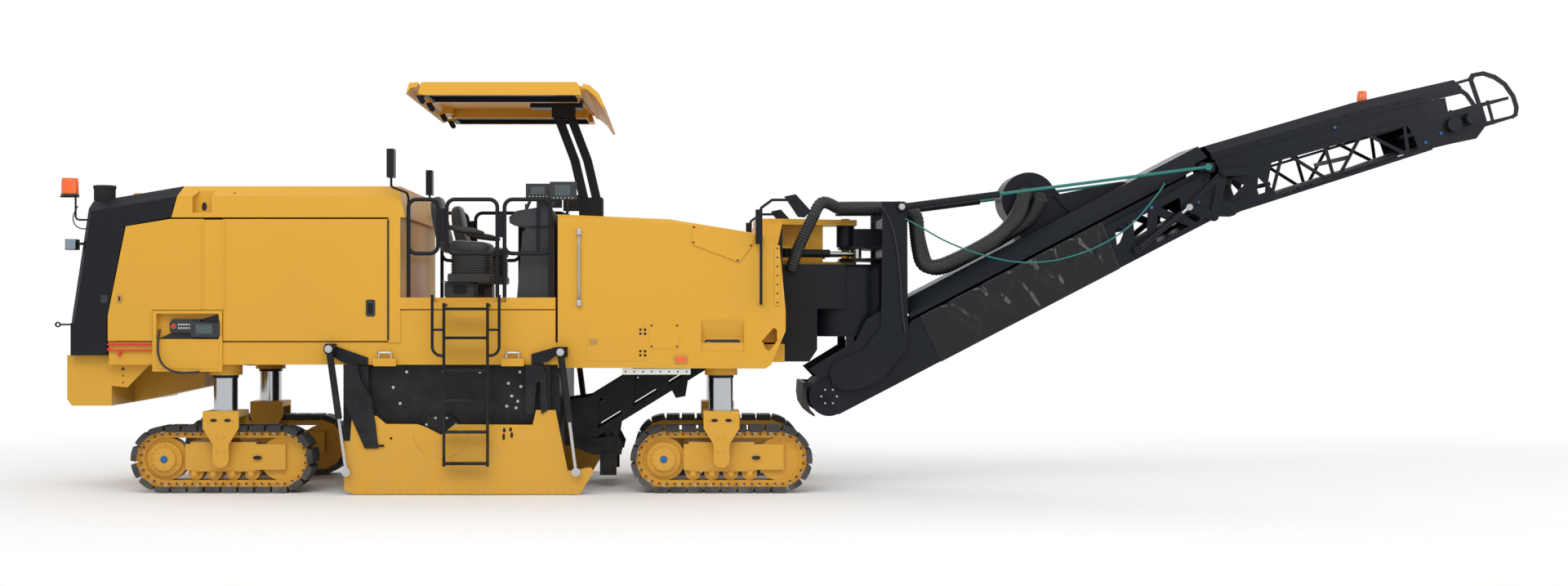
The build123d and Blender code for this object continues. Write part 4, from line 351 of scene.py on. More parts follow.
def make_dust():
    """Road dust: a mask that falls from 1 at the ground to 0 at Top, broken up by noise, times Amount."""
    tree, start, end = new_group(
        "road_dust",
        [("Colour", "NodeSocketColor", (1, 1, 1, 1)), ("Dust", "NodeSocketColor", (0.32, 0.29, 0.25, 1)),
         ("Top", "NodeSocketFloat", 1.2), ("Amount", "NodeSocketFloat", 0.3)],
        [("Colour", "NodeSocketColor"), ("Mask", "NodeSocketFloat")],
    )
    place = tree.nodes.new("ShaderNodeTexCoord").outputs["Object"]
    split = tree.nodes.new("ShaderNodeSeparateXYZ")
    tree.links.new(place, split.inputs[0])
    height = maths(tree, "DIVIDE", split.outputs["Z"], start.outputs["Top"])
    low = ranged(tree, height, 0.0, 1.0, 1.0, 0.0)
    patches = ranged(tree, noise_node(tree, place, 5.0, 8.0, 0.65).outputs["Fac"], 0.35, 0.75)
    mask = maths(tree, "MULTIPLY", maths(tree, "MULTIPLY", low, patches), start.outputs["Amount"])
    tree.links.new(mixed(tree, mask, start.outputs["Colour"], start.outputs["Dust"]), end.inputs["Colour"])
    tree.links.new(mask, end.inputs["Mask"])
    return tree


def make_grain():
    """Surface grain: fine noise at Scale, with a slower one under it, as a height for a bump."""
    scale, height = ("Scale", "NodeSocketFloat", 200.0), ("Height", "NodeSocketFloat")
    tree, start, end = new_group("fine_grain", [scale], [height])
    place = tree.nodes.new("ShaderNodeTexCoord").outputs["Object"]
    fine = noise_node(tree, place, 200.0, 3.0)
    tree.links.new(start.outputs["Scale"], fine.inputs["Scale"])
    slow = noise_node(tree, place, 6.0, 2.0).outputs["Fac"]
    both = maths(tree, "ADD", fine.outputs["Fac"], maths(tree, "MULTIPLY", slow, 1.5))
    tree.links.new(both, end.inputs["Height"])
    return tree


MOTTLE, DUST, GRAIN = make_mottle(), make_dust(), make_grain()
print("groups", [tree.name for tree in (MOTTLE, DUST, GRAIN)])

# %% [markdown]
# ## One recipe for a finish
# Every finish on the machine is a Principled shader with the same three effects at different strengths, so
# one function makes them all. Plain numbers, such as metallic or coat, are set on the shader's own sockets.

# %% Finishes
def linear(red, green, blue):
    """A colour written as it looks, 0 to 255, as the linear numbers that a shader takes."""
    c = np.array([red, green, blue]) / 255.0
    return tuple(float(v) for v in np.where(c <= 0.04045, c / 12.92, ((c + 0.055) / 1.055) ** 2.4))


def placed(tree, group, **values):
    """A group node in a material, with its plain values set and its sockets linked."""
    node = tree.nodes.new("ShaderNodeGroup")
    node.node_tree = group
    for name, value in values.items():
        socket = node.inputs[name]
        if hasattr(value, "is_linked"):
            tree.links.new(value, socket)
        else:
            socket.default_value = (*value, 1.0) if isinstance(value, tuple) else value
    return node


def finish(name, slot, colour, rough, shift=0.12, dust=0.25, dust_top=1.3, grain=220.0, bump=0.04,
           metallic=0.0, coat=0.0, **sockets):
    """A finish: colour with mottle and dust, roughness that dust raises, and grain as a bump."""
    material = bpy.data.materials.new(name)
    material.use_nodes = True
    material["slot"] = slot
    tree = material.node_tree
    shader = tree.nodes["Principled BSDF"]
    mottle = placed(tree, MOTTLE, Colour=linear(*colour), Shift=shift)
    dusty = placed(tree, DUST, Colour=mottle.outputs["Colour"], Top=dust_top, Amount=dust)
    tree.links.new(dusty.outputs["Colour"], shader.inputs["Base Color"])
    worn = maths(tree, "ADD", ranged(tree, mottle.outputs["Mask"], 0.3, 0.75, rough * 0.85, rough * 1.2),
                 maths(tree, "MULTIPLY", dusty.outputs["Mask"], 0.4))
    tree.links.new(worn, shader.inputs["Roughness"])
    if bump:
        node = tree.nodes.new("ShaderNodeBump")
        node.inputs["Strength"].default_value = bump
        node.inputs["Distance"].default_value = 0.002
        tree.links.new(placed(tree, GRAIN, Scale=grain).outputs["Height"], node.inputs["Height"])
        tree.links.new(node.outputs["Normal"], shader.inputs["Normal"])
    shader.inputs["Metallic"].default_value = metallic
    shader.inputs["Coat Weight"].default_value = coat
    for socket, value in sockets.items():
        shader.inputs[socket.replace("_", " ")].default_value = value
    return material


DULL = {"Specular_IOR_Level": 0.2}  # paint that mirrors little of the pale studio
yellow = finish("yellow_satin", "yellow_paint", (212, 160, 56), 0.4, 0.10, 0.16, 1.2, coat=0.05, **DULL)
black = finish("black_satin", "black_paint", (23, 25, 30), 0.42, 0.25, 0.14, 1.6, coat=0.02, **DULL)
blue_black = finish("conveyor_black", "black_paint", (20, 24, 32), 0.38, 0.3, 0.05, 1.6, coat=0.02, **DULL)
pad_rubber = finish("track_pad_rubber", "dark_steel", (44, 44, 46), 0.7, 0.3, 0.45, 0.7, 60.0, 0.25)
chain_steel = finish("chain_steel", "dark_steel", (84, 78, 70), 0.5, 0.4, 0.4, 0.7, 90.0, 0.15, 0.5)
tool_steel = finish("drum_steel", "bare_steel", (120, 118, 116), 0.45, 0.4, 0.5, 1.0, 70.0, 0.2, 0.7)
zinc = finish("zinc_plate", "bare_steel", (196, 198, 200), 0.35, 0.15, 0.05, metallic=0.6)
chrome = finish("hard_chrome", "chrome", (205, 208, 212), 0.16, 0.08, 0.03, metallic=1.0, bump=0.01)
belt = finish("belt_rubber", "belt_rubber", (28, 28, 30), 0.62, 0.3, 0.25, 2.0, 120.0, 0.15)
hose_rubber = finish("hose_rubber", "belt_rubber", (26, 27, 29), 0.48, 0.3, 0.1, 2.0, 260.0, 0.1)
vinyl = finish(
    "black_vinyl", "vinyl", (14, 16, 20), 0.2, 0.25, 0.0, 2.0, 420.0, 0.05, coat=0.2, Specular_IOR_Level=0.3
)
seat_cloth = finish(
    "seat_cover", "seat_cover", (38, 41, 45), 0.6, 0.3, 0.02, 2.0, 900.0, 0.3, Sheen_Weight=0.3
)
moulding = finish("black_moulding", "black_paint", (40, 42, 46), 0.55, 0.2, 0.05, 2.0, 500.0, 0.15)
engine_grey = finish("engine_grey", "engine_paint", (96, 98, 100), 0.5, 0.3, 0.3, 2.4)
red = finish("red_enamel", "yellow_paint", (208, 38, 44), 0.35, 0.1, 0.05)
orange = finish("orange_lens", "yellow_paint", (240, 98, 28), 0.22, 0.1, 0.0, coat=0.4, Emission_Strength=0.0)
cable_green = finish("cable_sheath", "cable_sheath", (22, 112, 104), 0.4, 0.1, 0.0)
clip_blue = finish("blue_caps", "cable_sheath", (30, 96, 150), 0.45, 0.1, 0.0)
gauge_white = finish("gauge_white", "bare_steel", (212, 212, 208), 0.45, 0.15, 0.15)
mirror_glass = finish("mirror_glass", "chrome", (150, 165, 180), 0.08, 0.05, 0.0, metallic=1.0, bump=0.0)
screen_glass = finish("screen_glass", "black_paint", (66, 80, 84), 0.12, 0.3, 0.0, bump=0.0, coat=0.5)
hollow_dark = finish("shaded_hollow", "black_paint", (22, 23, 25), 0.8, 0.2, 0.1)
plated_gold = finish("yellow_chromate", "bare_steel", (190, 150, 90), 0.4, 0.2, 0.1, metallic=0.5)
print("finishes", len(bpy.data.materials))

# %% [markdown]
# ## Painting the drawn pieces
# A drawn piece keeps its mesh, and only its faces get finishes. Most take one. Some are yellow here and
# black there, as a track is: black pads on a yellow chain. For those, a second finish goes to the faces
# whose middle passes a test, worked out for all faces of the piece at once.

# %% Paint by face
def face_middles(mesh):
    """Middle point and normal of every face, in drawing millimetres and as unit vectors."""
    middle = np.zeros(len(mesh.polygons) * 3)
    normal = np.zeros(len(mesh.polygons) * 3)
    mesh.polygons.foreach_get("center", middle)
    mesh.polygons.foreach_get("normal", normal)
    return middle.reshape(-1, 3) * 1000 - np.array([DATUM_X, 0, 0]), normal.reshape(-1, 3)


def paint(node, base, *patches):
    """A node's finish, then (finish, test) pairs: a test takes the faces' middles and normals."""
    mesh = nodes[node].data
    mesh.materials.clear()
    mesh.materials.append(base)
    index = np.zeros(len(mesh.polygons), np.int32)
    middle, normal = face_middles(mesh)
    for number, (patch, test) in enumerate(patches, 1):
        mesh.materials.append(patch)
        index[test(middle, normal)] = number
    mesh.polygons.foreach_set("material_index", index)
    mesh.update()


def within(x=None, y=None, z=None):
    """A test for faces whose middle lies in the ranges; y is taken as its distance from the middle plane."""

    def test(middle, normal):
        inside = np.ones(len(middle), bool)
        for value, span in ((middle[:, 0], x), (np.abs(middle[:, 1]), y), (middle[:, 2], z)):
            if span:
                inside &= (value >= span[0]) & (value <= span[1])
        return inside

    return test


LEG_X = (("front", -980.0), ("rear", -6000.0))
LEGS = [(f"{end}_{name}", x, side) for end, x in LEG_X for name, side in SIDES]
LEG_Y, LOOP_R, WHEEL_U = 970.0, 335.0, 580.0  # track's middle plane, height of its axes, axes fore and aft


def from_loop(middle, x_leg):
    """Distance of a point outside the line through the two wheel axes of a track, as a stadium has it."""
    u = middle[:, 0] - x_leg
    w = middle[:, 2] - LOOP_R
    return np.hypot(np.maximum(np.abs(u) - WHEEL_U, 0), w)


for name, x_leg, side in LEGS:
    paint(
        f"track_{name}",
        yellow,
        (chain_steel, lambda m, n, x=x_leg: (from_loop(m, x) > 205) & (np.abs(np.abs(m[:, 1]) - LEG_Y) < 60)),
        (pad_rubber, lambda m, n, x=x_leg: from_loop(m, x) > 284),
    )
    paint(f"leg_{name}", yellow, (chrome, lambda m, n: m[:, 2] > 822))

for coat, names in (
    (yellow, "rear_bumper hood operator_deck side_plate_right side_plate_left"),
    (yellow, "door_front_right door_front_left door_rear_right door_rear_left"),
    (black, "canopy_arm_front canopy_arm_rear primary_conveyor transfer_shroud"),
    (blue_black, "swing_post boom_cover tip_frame tip_cover fold_crank fold_link"),
    (belt, "boom_belt tip_belt"),
    (engine_grey, "engine_block"),
    (seat_cloth, "seats"),
    (tool_steel, "milling_drum"),
    (vinyl, "side_sheets"),
    (cable_green, "safety_cable"),
):
    for node in names.split():
        paint(node, coat)
cylinder_brackets = within(y=(1262.5, 1500))
paint("main_frame", yellow, (black, cylinder_brackets), (black, within(x=(-4941, -4500), y=(1241, 1500))))
paint("engine_housing", yellow, (moulding, within(x=(-6505, -5980), y=(1180, 1300), z=(1560, 1750))))
paint("conveyor_tongue", yellow, (black, within(y=(480, 700), z=(1400, 2310))))
paint(
    "front_tank",
    yellow,
    (black, within(y=(1262.5, 1500), z=(1290, 1480))),
    (black, within(y=(0, 140), z=(2790, 3050))),
    (black, lambda m, n: (np.abs(m[:, 1]) > 1250.5) & (m[:, 0] < -2530) & (m[:, 2] < 1480)),
)
paint(
    "rear_cowl",
    black,
    (orange, within(x=(-7600, -7436), z=(2977, 3160))),
    (moulding, within(x=(-7330, -7110), y=(860, 1100), z=(2926, 3110))),
)
paint(
    "platform_fittings",
    black,
    (moulding, within(x=(-3120, -2640), y=(550, 1160), z=(1960, 2890))),
    (moulding, within(x=(-2975, -2440), y=(700, 1080), z=(2890, 3140))),
)
paint(
    "canopy_roof",
    yellow,
    (black, within(x=(-3925, -2435), y=(765, 1345), z=(3960, 4060))),
    (black, within(y=(0, 130), z=(3800, 4054))),
    (black, lambda m, n: (m[:, 2] < 3984) & (m[:, 0] < -3900)),
)
paint("boom_frame", blue_black, (belt, within(x=(-140, 15), z=(700, 1075), y=(0, 481))))
paint("dust_unit", blue_black, (hose_rubber, lambda m, n: m[:, 1] < -251))
paint("rotor_housing", black, (tool_steel, within(y=(0, 1100), z=(0, 700))))
for node in sorted(nodes):
    if "barrel" in node:
        paint(node, black)
    elif "_rod" in node:
        paint(node, chrome)
paint("lift_rods", chrome, (cable_green, within(x=(2060, 4400))))
print("painted", sum(bool(n.data.materials) for n in nodes.values()), "of", len(nodes))

# %% [markdown]
# ## Seats
# Each operator has a sprung seat. The cushions are foam under cloth: a closed form that crowns in the middle
# and pulls in at its edges, with sewn channels. A superellipsoid gives that form from two angles, and the
# channels are shallow grooves taken off its height. The CAD blocks are only stand-ins, so they are replaced.

# %% Seat cushions
def signed_power(value, power):
    """The value's size raised to the power, with its sign kept."""
    return np.sign(value) * np.abs(value) ** power


def cushion(name, middle, half, lean, channels, material, body, square=0.42, belly=0.0, rows=44, around=72):
    """A crowned pad: superellipsoid of half sizes (x, y, z), with grooves across y every 1/channels of its
    length and a belly that bows it, then leaned about the machine's y axis by the angle."""
    v = np.linspace(-pi / 2, pi / 2, rows)[1:-1, None]
    u = np.linspace(0, 2 * pi, around, endpoint=False)[None]
    x = signed_power(np.cos(v), square) * signed_power(np.cos(u), square)
    y = signed_power(np.cos(v), square) * signed_power(np.sin(u), square)
    z = signed_power(np.sin(v), square * 1.35) * np.ones_like(u)
    groove = 0.07 * np.exp(-((np.abs((x * channels / 2) % 1 - 0.5) * 9) ** 2)) * (np.abs(y) < 0.72)
    seam = 0.05 * np.exp(-((np.abs(np.abs(y) - 0.74) * 22) ** 2))
    z = z * (1 - groove - seam) * (1 + 0.12 * (1 - x**2) * (1 - y**2)) + belly * x**2
    c, s = cos(radians(lean)), sin(radians(lean))
    px, pz = x * half[0], z * half[2]
    points = at(middle[0] + px * c - pz * s, middle[1] + y * half[1], middle[2] + px * s + pz * c)
    piece = closed_tube(name, points, material, body)
    return piece


SEAT_X, SEAT_Y, SEAT_HALF_W = -3525.0, 800.0, 240.0
BELLOWS_HALF, BELLOWS_LOW = 205.0, 2205.0
SEAT_PLATES = (  # name, x, z, corner, across the seat, finish, bevel
    ("box", (-3751, -3320), (2121, 2206), 14, (-200, 200), moulding, 0.008),
    ("pedestal", (-3790, -3480), (1960.5, 2122), 14, (-150, 150), moulding, 0.008),
    ("rail", (-3820, -3330), (2118, 2128), 0, (-215, -190), moulding, 0.003),
    ("panel", (-3700, -3560), (2000, 2090), 20, (-156, -149), black, 0.003),
)
rise = np.linspace(0, 1, 49)
pleats = 1 - 0.055 * np.cos(rise * 8 * pi) ** 2  # the bellows' half width, pleat by pleat
square_ring = signed_power(ring_outline((0, 0), (1, 1), 40), 0.4)
for name, side in SIDES:
    y = side * SEAT_Y
    sizes = (208, SEAT_HALF_W - 6, 62)
    base = cushion(f"seat_cushion_{name}", (SEAT_X, y, 2472), sizes, -4, 4, seat_cloth, "base", belly=0.1)
    sizes = (290, SEAT_HALF_W - 16, 66)
    cushion(f"seat_back_{name}", (-3838, y, 2700), sizes, 102, 5, seat_cloth, "base", belly=-0.3)
    for k, reach in enumerate((-SEAT_HALF_W - 12, SEAT_HALF_W + 12)):
        cushion(f"armrest_{name}_{k}", (-3592, y + reach, 2652), (165, 26, 26), -7, 1, moulding, "base")
    rings = [
        at(SEAT_X + wide * square_ring[:, 0], y + wide * square_ring[:, 1], BELLOWS_LOW + BELLOWS_HALF * up)
        for wide, up in zip(BELLOWS_HALF * pleats, rise)
    ]
    closed_tube(f"seat_bellows_{name}", rings, moulding, "base")
    for label, x, z, corner, across, coat, bevel in SEAT_PLATES:
        face = (y + across[0], y + across[1])
        plate(f"seat_{label}_{name}", box_outline(x, z, corner), face, coat, "base", bevel)
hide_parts("seats")
print("seats made")

# %% [markdown]
# ## Side sheets
# A loose sheet of black vinyl hangs along each side of the conveyor's lower section and keeps dust in. It
# is fixed along its edges and buckles between them, so its shape is the flat sheet pushed outwards by a
# few slanting folds that die away at the edges. A Solidify modifier gives it the thickness of the cloth.

# %% Vinyl sheets
SHEET_ALONG, SHEET_SQUARE, SHEET_OUT = (940.0, 3095.0), (-350.0, 170.0), 503.0
FOLD_GAIN, FOLD_MOST = 1.35, 34.0  # how much the folds stand out, and the most that the cloth may
SHEET_SLANT, SHEET_SHORT = 13.0, 57.0  # how far the ends lean, and how much shorter the low edge is
FOLDS = (  # where a fold runs: along, square, heading in degrees, half width, depth, in millimetres
    (1150, -60, 62, 46, 17), (1330, 20, 118, 60, 20), (1480, -150, 55, 38, 15), (1640, 60, 82, 34, 16),
    (1760, -60, 128, 52, 22), (1930, 40, 45, 40, 16), (2060, -170, 100, 44, 18), (2210, 30, 60, 36, 15),
    (2330, -90, 122, 58, 21), (2480, 50, 75, 32, 14), (2640, -60, 50, 46, 17), (2790, 20, 112, 40, 16),
    (2920, -80, 68, 36, 14),
)


def vinyl_sheet(name, side):
    """A grid over the sheet; each fold adds depth * exp(-(distance from its line / width)^2) along its
    heading, faded by sines that are zero at the sheet's fixed edges."""
    a, s = np.meshgrid(np.linspace(0, 1, 180), np.linspace(0, 1, 60), indexing="ij")
    square = SHEET_SQUARE[0] + s * (SHEET_SQUARE[1] - SHEET_SQUARE[0])
    reach = SHEET_ALONG[1] - SHEET_ALONG[0] - SHEET_SHORT * (1 - s) - SHEET_SLANT * s
    along = SHEET_ALONG[0] + SHEET_SLANT * s + a * reach
    out = np.zeros_like(along)
    for x, z, heading, width, depth in FOLDS:
        h = radians(heading)
        across = (along - x) * sin(h) - (square - z) * cos(h)
        onward = (along - x) * cos(h) + (square - z) * sin(h)
        out += depth * np.exp(-((across / width) ** 2)) * np.exp(-((onward / 230) ** 2))
        out -= 0.3 * depth * np.exp(-(((across - 1.6 * width) / width) ** 2)) * np.exp(-((onward / 200) ** 2))
    out *= np.minimum(1, 6 * np.sin(pi * s)) * np.minimum(1, 8 * np.sin(pi * a))
    y = side * (SHEET_OUT + np.clip(FOLD_GAIN * out, 0, FOLD_MOST))
    points = on_boom(along, y, square)
    piece = build(name, points, grid_faces(180, 60, False, False), vinyl, "boom", outward=False)
    if side > 0:
        piece.data.flip_normals()
    thick = piece.modifiers.new("cloth", "SOLIDIFY")
    thick.thickness, thick.offset = 0.002, 0.0
    width = (SHEET_SQUARE[1] - SHEET_SQUARE[0]) / 1000
    return piece


for name, side in SIDES:
    sheet = vinyl_sheet(f"vinyl_sheet_{name}", side)
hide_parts("side_sheets")
for name, side in SIDES:
    edge = np.linspace(SHEET_ALONG[0] + 40, SHEET_ALONG[1] - 40, 14)
    studs = on_boom(edge, side * 505.0, 150.0)
    bolts(f"sheet_studs_{name}", studs, (0, side, 0), 0.007, moulding, "boom")
print("sheets made")

# %% [markdown]
# ## Safety cable
# A slack green cable runs from the post's head to the lower section's cover. It is a real cord: a smooth
# NURBS line through the same control points as the drawing's, with a round bevel; its length is printed.

# %% Hanging cable
CABLE = (  # from the post's head to the cover, in drawing millimetres
    (935.0, -570.3, 2780.0), (935.0, -650.0, 2780.0), (1500.0, -650.0, 2450.0), (2300.0, -650.0, 2270.0),
    (3150.0, -650.0, 2560.0), (3637.0, -650.0, 3153.0), (3637.0, -500.3, 3153.0),
)
CABLE_D = 0.016


def nurbs_line(name, points, diameter):
    """A curve object with one open NURBS spline of order 3 and a round bevel; returns it and its length."""
    curve = bpy.data.curves.new(name, "CURVE")
    curve.dimensions = "3D"
    spline = curve.splines.new("NURBS")
    spline.points.add(len(points) - 1)
    for point, place in zip(spline.points, points):
        point.co = (*place, 1.0)
    spline.order_u, spline.use_endpoint_u, spline.resolution_u = 3, True, 16
    piece = bpy.data.objects.new(name, curve)
    bpy.context.scene.collection.objects.link(piece)
    line = bpy.data.meshes.new_from_object(piece)
    co = np.zeros(len(line.vertices) * 3)
    line.vertices.foreach_get("co", co)
    length = float(np.linalg.norm(np.diff(co.reshape(-1, 3), axis=0), axis=1).sum())
    bpy.data.meshes.remove(line)
    curve.bevel_depth, curve.bevel_resolution, curve.use_fill_caps = diameter / 2, 4, True
    return piece, length


cable_points = [at(*point) for point in CABLE]
cable, cable_length = nurbs_line("safety_cable_line", cable_points, CABLE_D)
cable.data.materials.append(cable_green)
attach(cable, "boom")
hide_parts("safety_cable")
print("cable length", round(cable_length, 3))

# %% [markdown]
# ## Dust hoses
# The dust hoses are ribbed rubber, wound on wire. A rib is a small swelling that comes back every few
# centimetres, so the tube's radius is a base plus a sine of the distance along it. The hoses hang from the
# fan to the post, and the span between the two is freed from its body and stays where it is built.

# %% Ribbed hoses
HOSE_R, RIB, RIB_PITCH = 77.0, 3.0, 30.0


def ribbed(name, points, radius, body):
    """A tube of radius + rib * sine of the distance along the soft path, six steps to a rib."""
    path = smooth_path(points, 200)
    reach = np.concatenate([[0], np.cumsum(np.linalg.norm(np.diff(path, axis=0), axis=1))])
    even = np.linspace(0, reach[-1], int(reach[-1] * 1000 / RIB_PITCH * 6))
    path = np.stack([np.interp(even, reach, path[:, k]) for k in range(3)], -1)
    size = (radius + RIB * np.sin(even * 1000 / RIB_PITCH * 2 * pi)) / 1000
    profile = circle(1.0, 20)[None] * size[:, None, None]
    return closed_tube(name, carried(path, profile), hose_rubber, body)


HOSES = (  # from the fan's inlet down to the cover: along, y, square
    ((2555, -340, 795), (2380, -352, 600), (1980, -360, 490), (1500, -372, 520)),
    ((2678, -340, 675), (2520, -250, 520), (2080, -190, 484), (1560, -190, 490)),
)
DUCT_Z, DUCT_R = 2900.0, 72.0
RISER_TOP, RISER_R = (0.0, -550.0, 2826.0), 60.0
RISER = ((-248, -550, 2245), (-190, -550, 2430), (-70, -550, 2700), (-4, -550, 2826))
RISER_BEND = ((-8, -550, 2815), (40, -550, 2950), (150, -470, 2960), (250, -352, 2905))


def stretch(span, start, end):
    """Frees a span from its body and bakes its place into its points; start and end are not used."""
    span.parent = None
    del span["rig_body"]
    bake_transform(span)


for number, (hose, duct_y) in enumerate(zip(HOSES, (-350, -190)), 1):
    route = [on_boom(*point) for point in hose]
    ribbed(f"dust_hose_{number}", route, HOSE_R, "boom")
    low, before = np.array(route[-1]), np.array(route[-2])
    onward = low + (low - before) / np.linalg.norm(low - before) * 0.28
    end = at(885.0, duct_y, DUCT_Z)
    middle = (onward + end) / 2 + (0.06, 0, 0.02)
    points = [low + (before - low) * 0.02, onward, middle, end + (0.2, 0, 0.0), end - (0.02, 0, 0)]
    span = ribbed(f"dust_hose_span_{number}", points, HOSE_R, "boom")
    stretch(span, end, low)
    duct = [at(255, duct_y, DUCT_Z), at(570, duct_y, DUCT_Z + 6), at(884, duct_y, DUCT_Z)]
    ribbed(f"post_duct_{number}", duct, DUCT_R, "post")
ribbed("dust_riser", [at(*point) for point in RISER], RISER_R, "base")
bend = ribbed("dust_riser_bend", [at(*point) for point in RISER_BEND], RISER_R, "base")
stretch(bend, at(*RISER_TOP), at(245, -352, 2900))
print("hoses made")

# %% [markdown]
# ## Track details
# Each pad is bolted to the chain, and the chain's links are pinned. The pads lie on the stadium-shaped line
# round the two wheels, so one formula gives all their places: straight runs and half circles by the
# distance along the line. The chain's pins and the pads' bolts are then added all at once.

# %% Chain pins, pad bolts, rollers and hub
SHOES = 25
CHAIN_R, PAD_R = 249.0, 268.0  # radius of the loops that the chain's pins and the pads' bolts lie on
HUB_OUT, YOKE_OUT = 165.0, 213.0  # faces of hub and yoke, outwards from the track's middle plane
YOKE_BOLTS = np.array([(-120, 720), (120, 720), (-35, 560), (35, 560), (-35, 420), (35, 420)], float)
HOLES = (  # x, z, half width, half height, face
    (-70, 730, 34, 17, YOKE_OUT), (70, 730, 34, 17, YOKE_OUT), (350, 350, 44, 20, 132)
)
HUB_RINGS = (("sprocket", 16, 146, 122, 0.009), ("hub", 8, 84, HUB_OUT, 0.007))  # bolts, ring, face, size


def loop_length(radius):
    """Length of a stadium: two straight runs and the circle of its two ends."""
    return 2 * (2 * WHEEL_U + pi * radius)


def on_loop(distance, radius):
    """Places (u, w) on the stadium of that radius, by the distance along it from its top rear."""
    straight, arc = 2 * WHEEL_U, pi * radius
    d = np.mod(distance, loop_length(radius))
    stretches = [d < straight, d < straight + arc, d < 2 * straight + arc]
    front, rear = (d - straight) / radius, pi + (d - 2 * straight - arc) / radius
    runs_u = [d - WHEEL_U, WHEEL_U + radius * np.sin(front), WHEEL_U - (d - straight - arc)]
    runs_w = [radius, radius * np.cos(front), -radius]
    u = np.select(stretches, runs_u, -WHEEL_U + radius * np.sin(rear))
    w = np.select(stretches, runs_w, radius * np.cos(rear))
    return u, w


for name, x_leg, side in LEGS:
    body = f"leg_{name}"
    share = (np.arange(SHOES * 2) + 0.5) / (SHOES * 2)
    u, w = on_loop(share * loop_length(CHAIN_R), CHAIN_R)
    for label, out, size, coat in (("pins", 91, 0.021, yellow), ("bushes", 97, 0.010, chain_steel)):
        heads(f"track_{label}_{name}", side, x_leg + u, LEG_Y + out, LOOP_R + w, size, coat, body, 0.008)
    share = (np.arange(SHOES) + 0.5) / SHOES
    u, w = on_loop(share * loop_length(PAD_R) + 40, PAD_R)
    heads(f"pad_bolts_{name}", side, x_leg + u, LEG_Y + 92, LOOP_R + w, 0.012, zinc, body, 0.014)
    for label, count, ring_r, out, size in HUB_RINGS:
        ring = ring_outline((x_leg - WHEEL_U, LOOP_R), (ring_r, ring_r), count)
        heads(f"{label}_bolts_{name}", side, ring[:, 0], LEG_Y + out, ring[:, 1], size, yellow, body)
    heads(f"hub_plugs_{name}", side, x_leg - WHEEL_U, LEG_Y + HUB_OUT, LOOP_R, 0.03, clip_blue, body, 0.012)
    x_rollers = x_leg + np.array([-285.0, -95.0, 95.0, 285.0])
    heads(f"roller_caps_{name}", side, x_rollers, LEG_Y + 128, LOOP_R - 150.0, 0.026, yellow, body, 0.02)
    x, z = YOKE_BOLTS.T
    heads(f"yoke_bolts_{name}", side, x_leg + x, LEG_Y + YOKE_OUT, z, 0.009, yellow, body)
    for k, (dx, z, half_x, half_z, out) in enumerate(HOLES):
        outline = ring_outline((x_leg + dx, z), (half_x, half_z), 28)
        face = (LEG_Y + out - 4, LEG_Y + out + 0.6)
        panel(f"yoke_hole_{name}_{k}", side, outline, face, hollow_dark, body, 0)
    pipe(f"column_wiper_{name}", side, ((x_leg, LEG_Y, 1150), (x_leg, LEG_Y, 1182)), 0.128, black, sides=40)
print("track details made")

# %% [markdown]
# ## Panels, latches and hinges
# What tells a reader the size of a machine is its small hardware: door latches, piano hinges, the rubber
# seal at a door's edge, screw heads. They are thin plates with rounded edges, a hair proud of the panel.

# %% Door hardware
PANEL_Y, COWL_Y, SKIRT_Y = 1250.0, 1240.0, 1256.0
DOOR_PLATES = (  # name, outline, how proud, finish, door
    ("rear_latch", box_outline((-7012, -6966), (1908, 1990), 10), 9, plated_gold, "rear"),
    ("rear_latch_slot", box_outline((-6998, -6980), (1925, 1972), 6), 11, hollow_dark, "rear"),
    ("front_latch", box_outline((-4532, -4438), (1770, 1940), 14), 4, moulding, "front"),
    ("front_latch_pull", box_outline((-4512, -4462), (1800, 1905), 10), 9, black, "front"),
    ("seal", box_outline((-4318, -4300), (1534, 2738)), 7, hose_rubber, "front"),
)
HINGES = (("rear", -6166, -6166), ("front", -5948, -5940.5))  # door, middle of the leaf, line of the bolts
LOCK_BAR_LOW = [
    (-7108, 1428), (-7108, 1460), (-7060, 1440), (-6665, 1440), (-6665, 1425),
    (-6960, 1425), (-6975, 1375), (-7005, 1375), (-6990, 1425),
]


def stuck_on(name, outline, proud, material, side, body="base", y=PANEL_Y, bevel=0.002):
    """A thin plate on a side panel: from 3 mm inside the face to a little proud of it."""
    return panel(name, side, outline, (y - 3, y + proud), material, body, bevel)


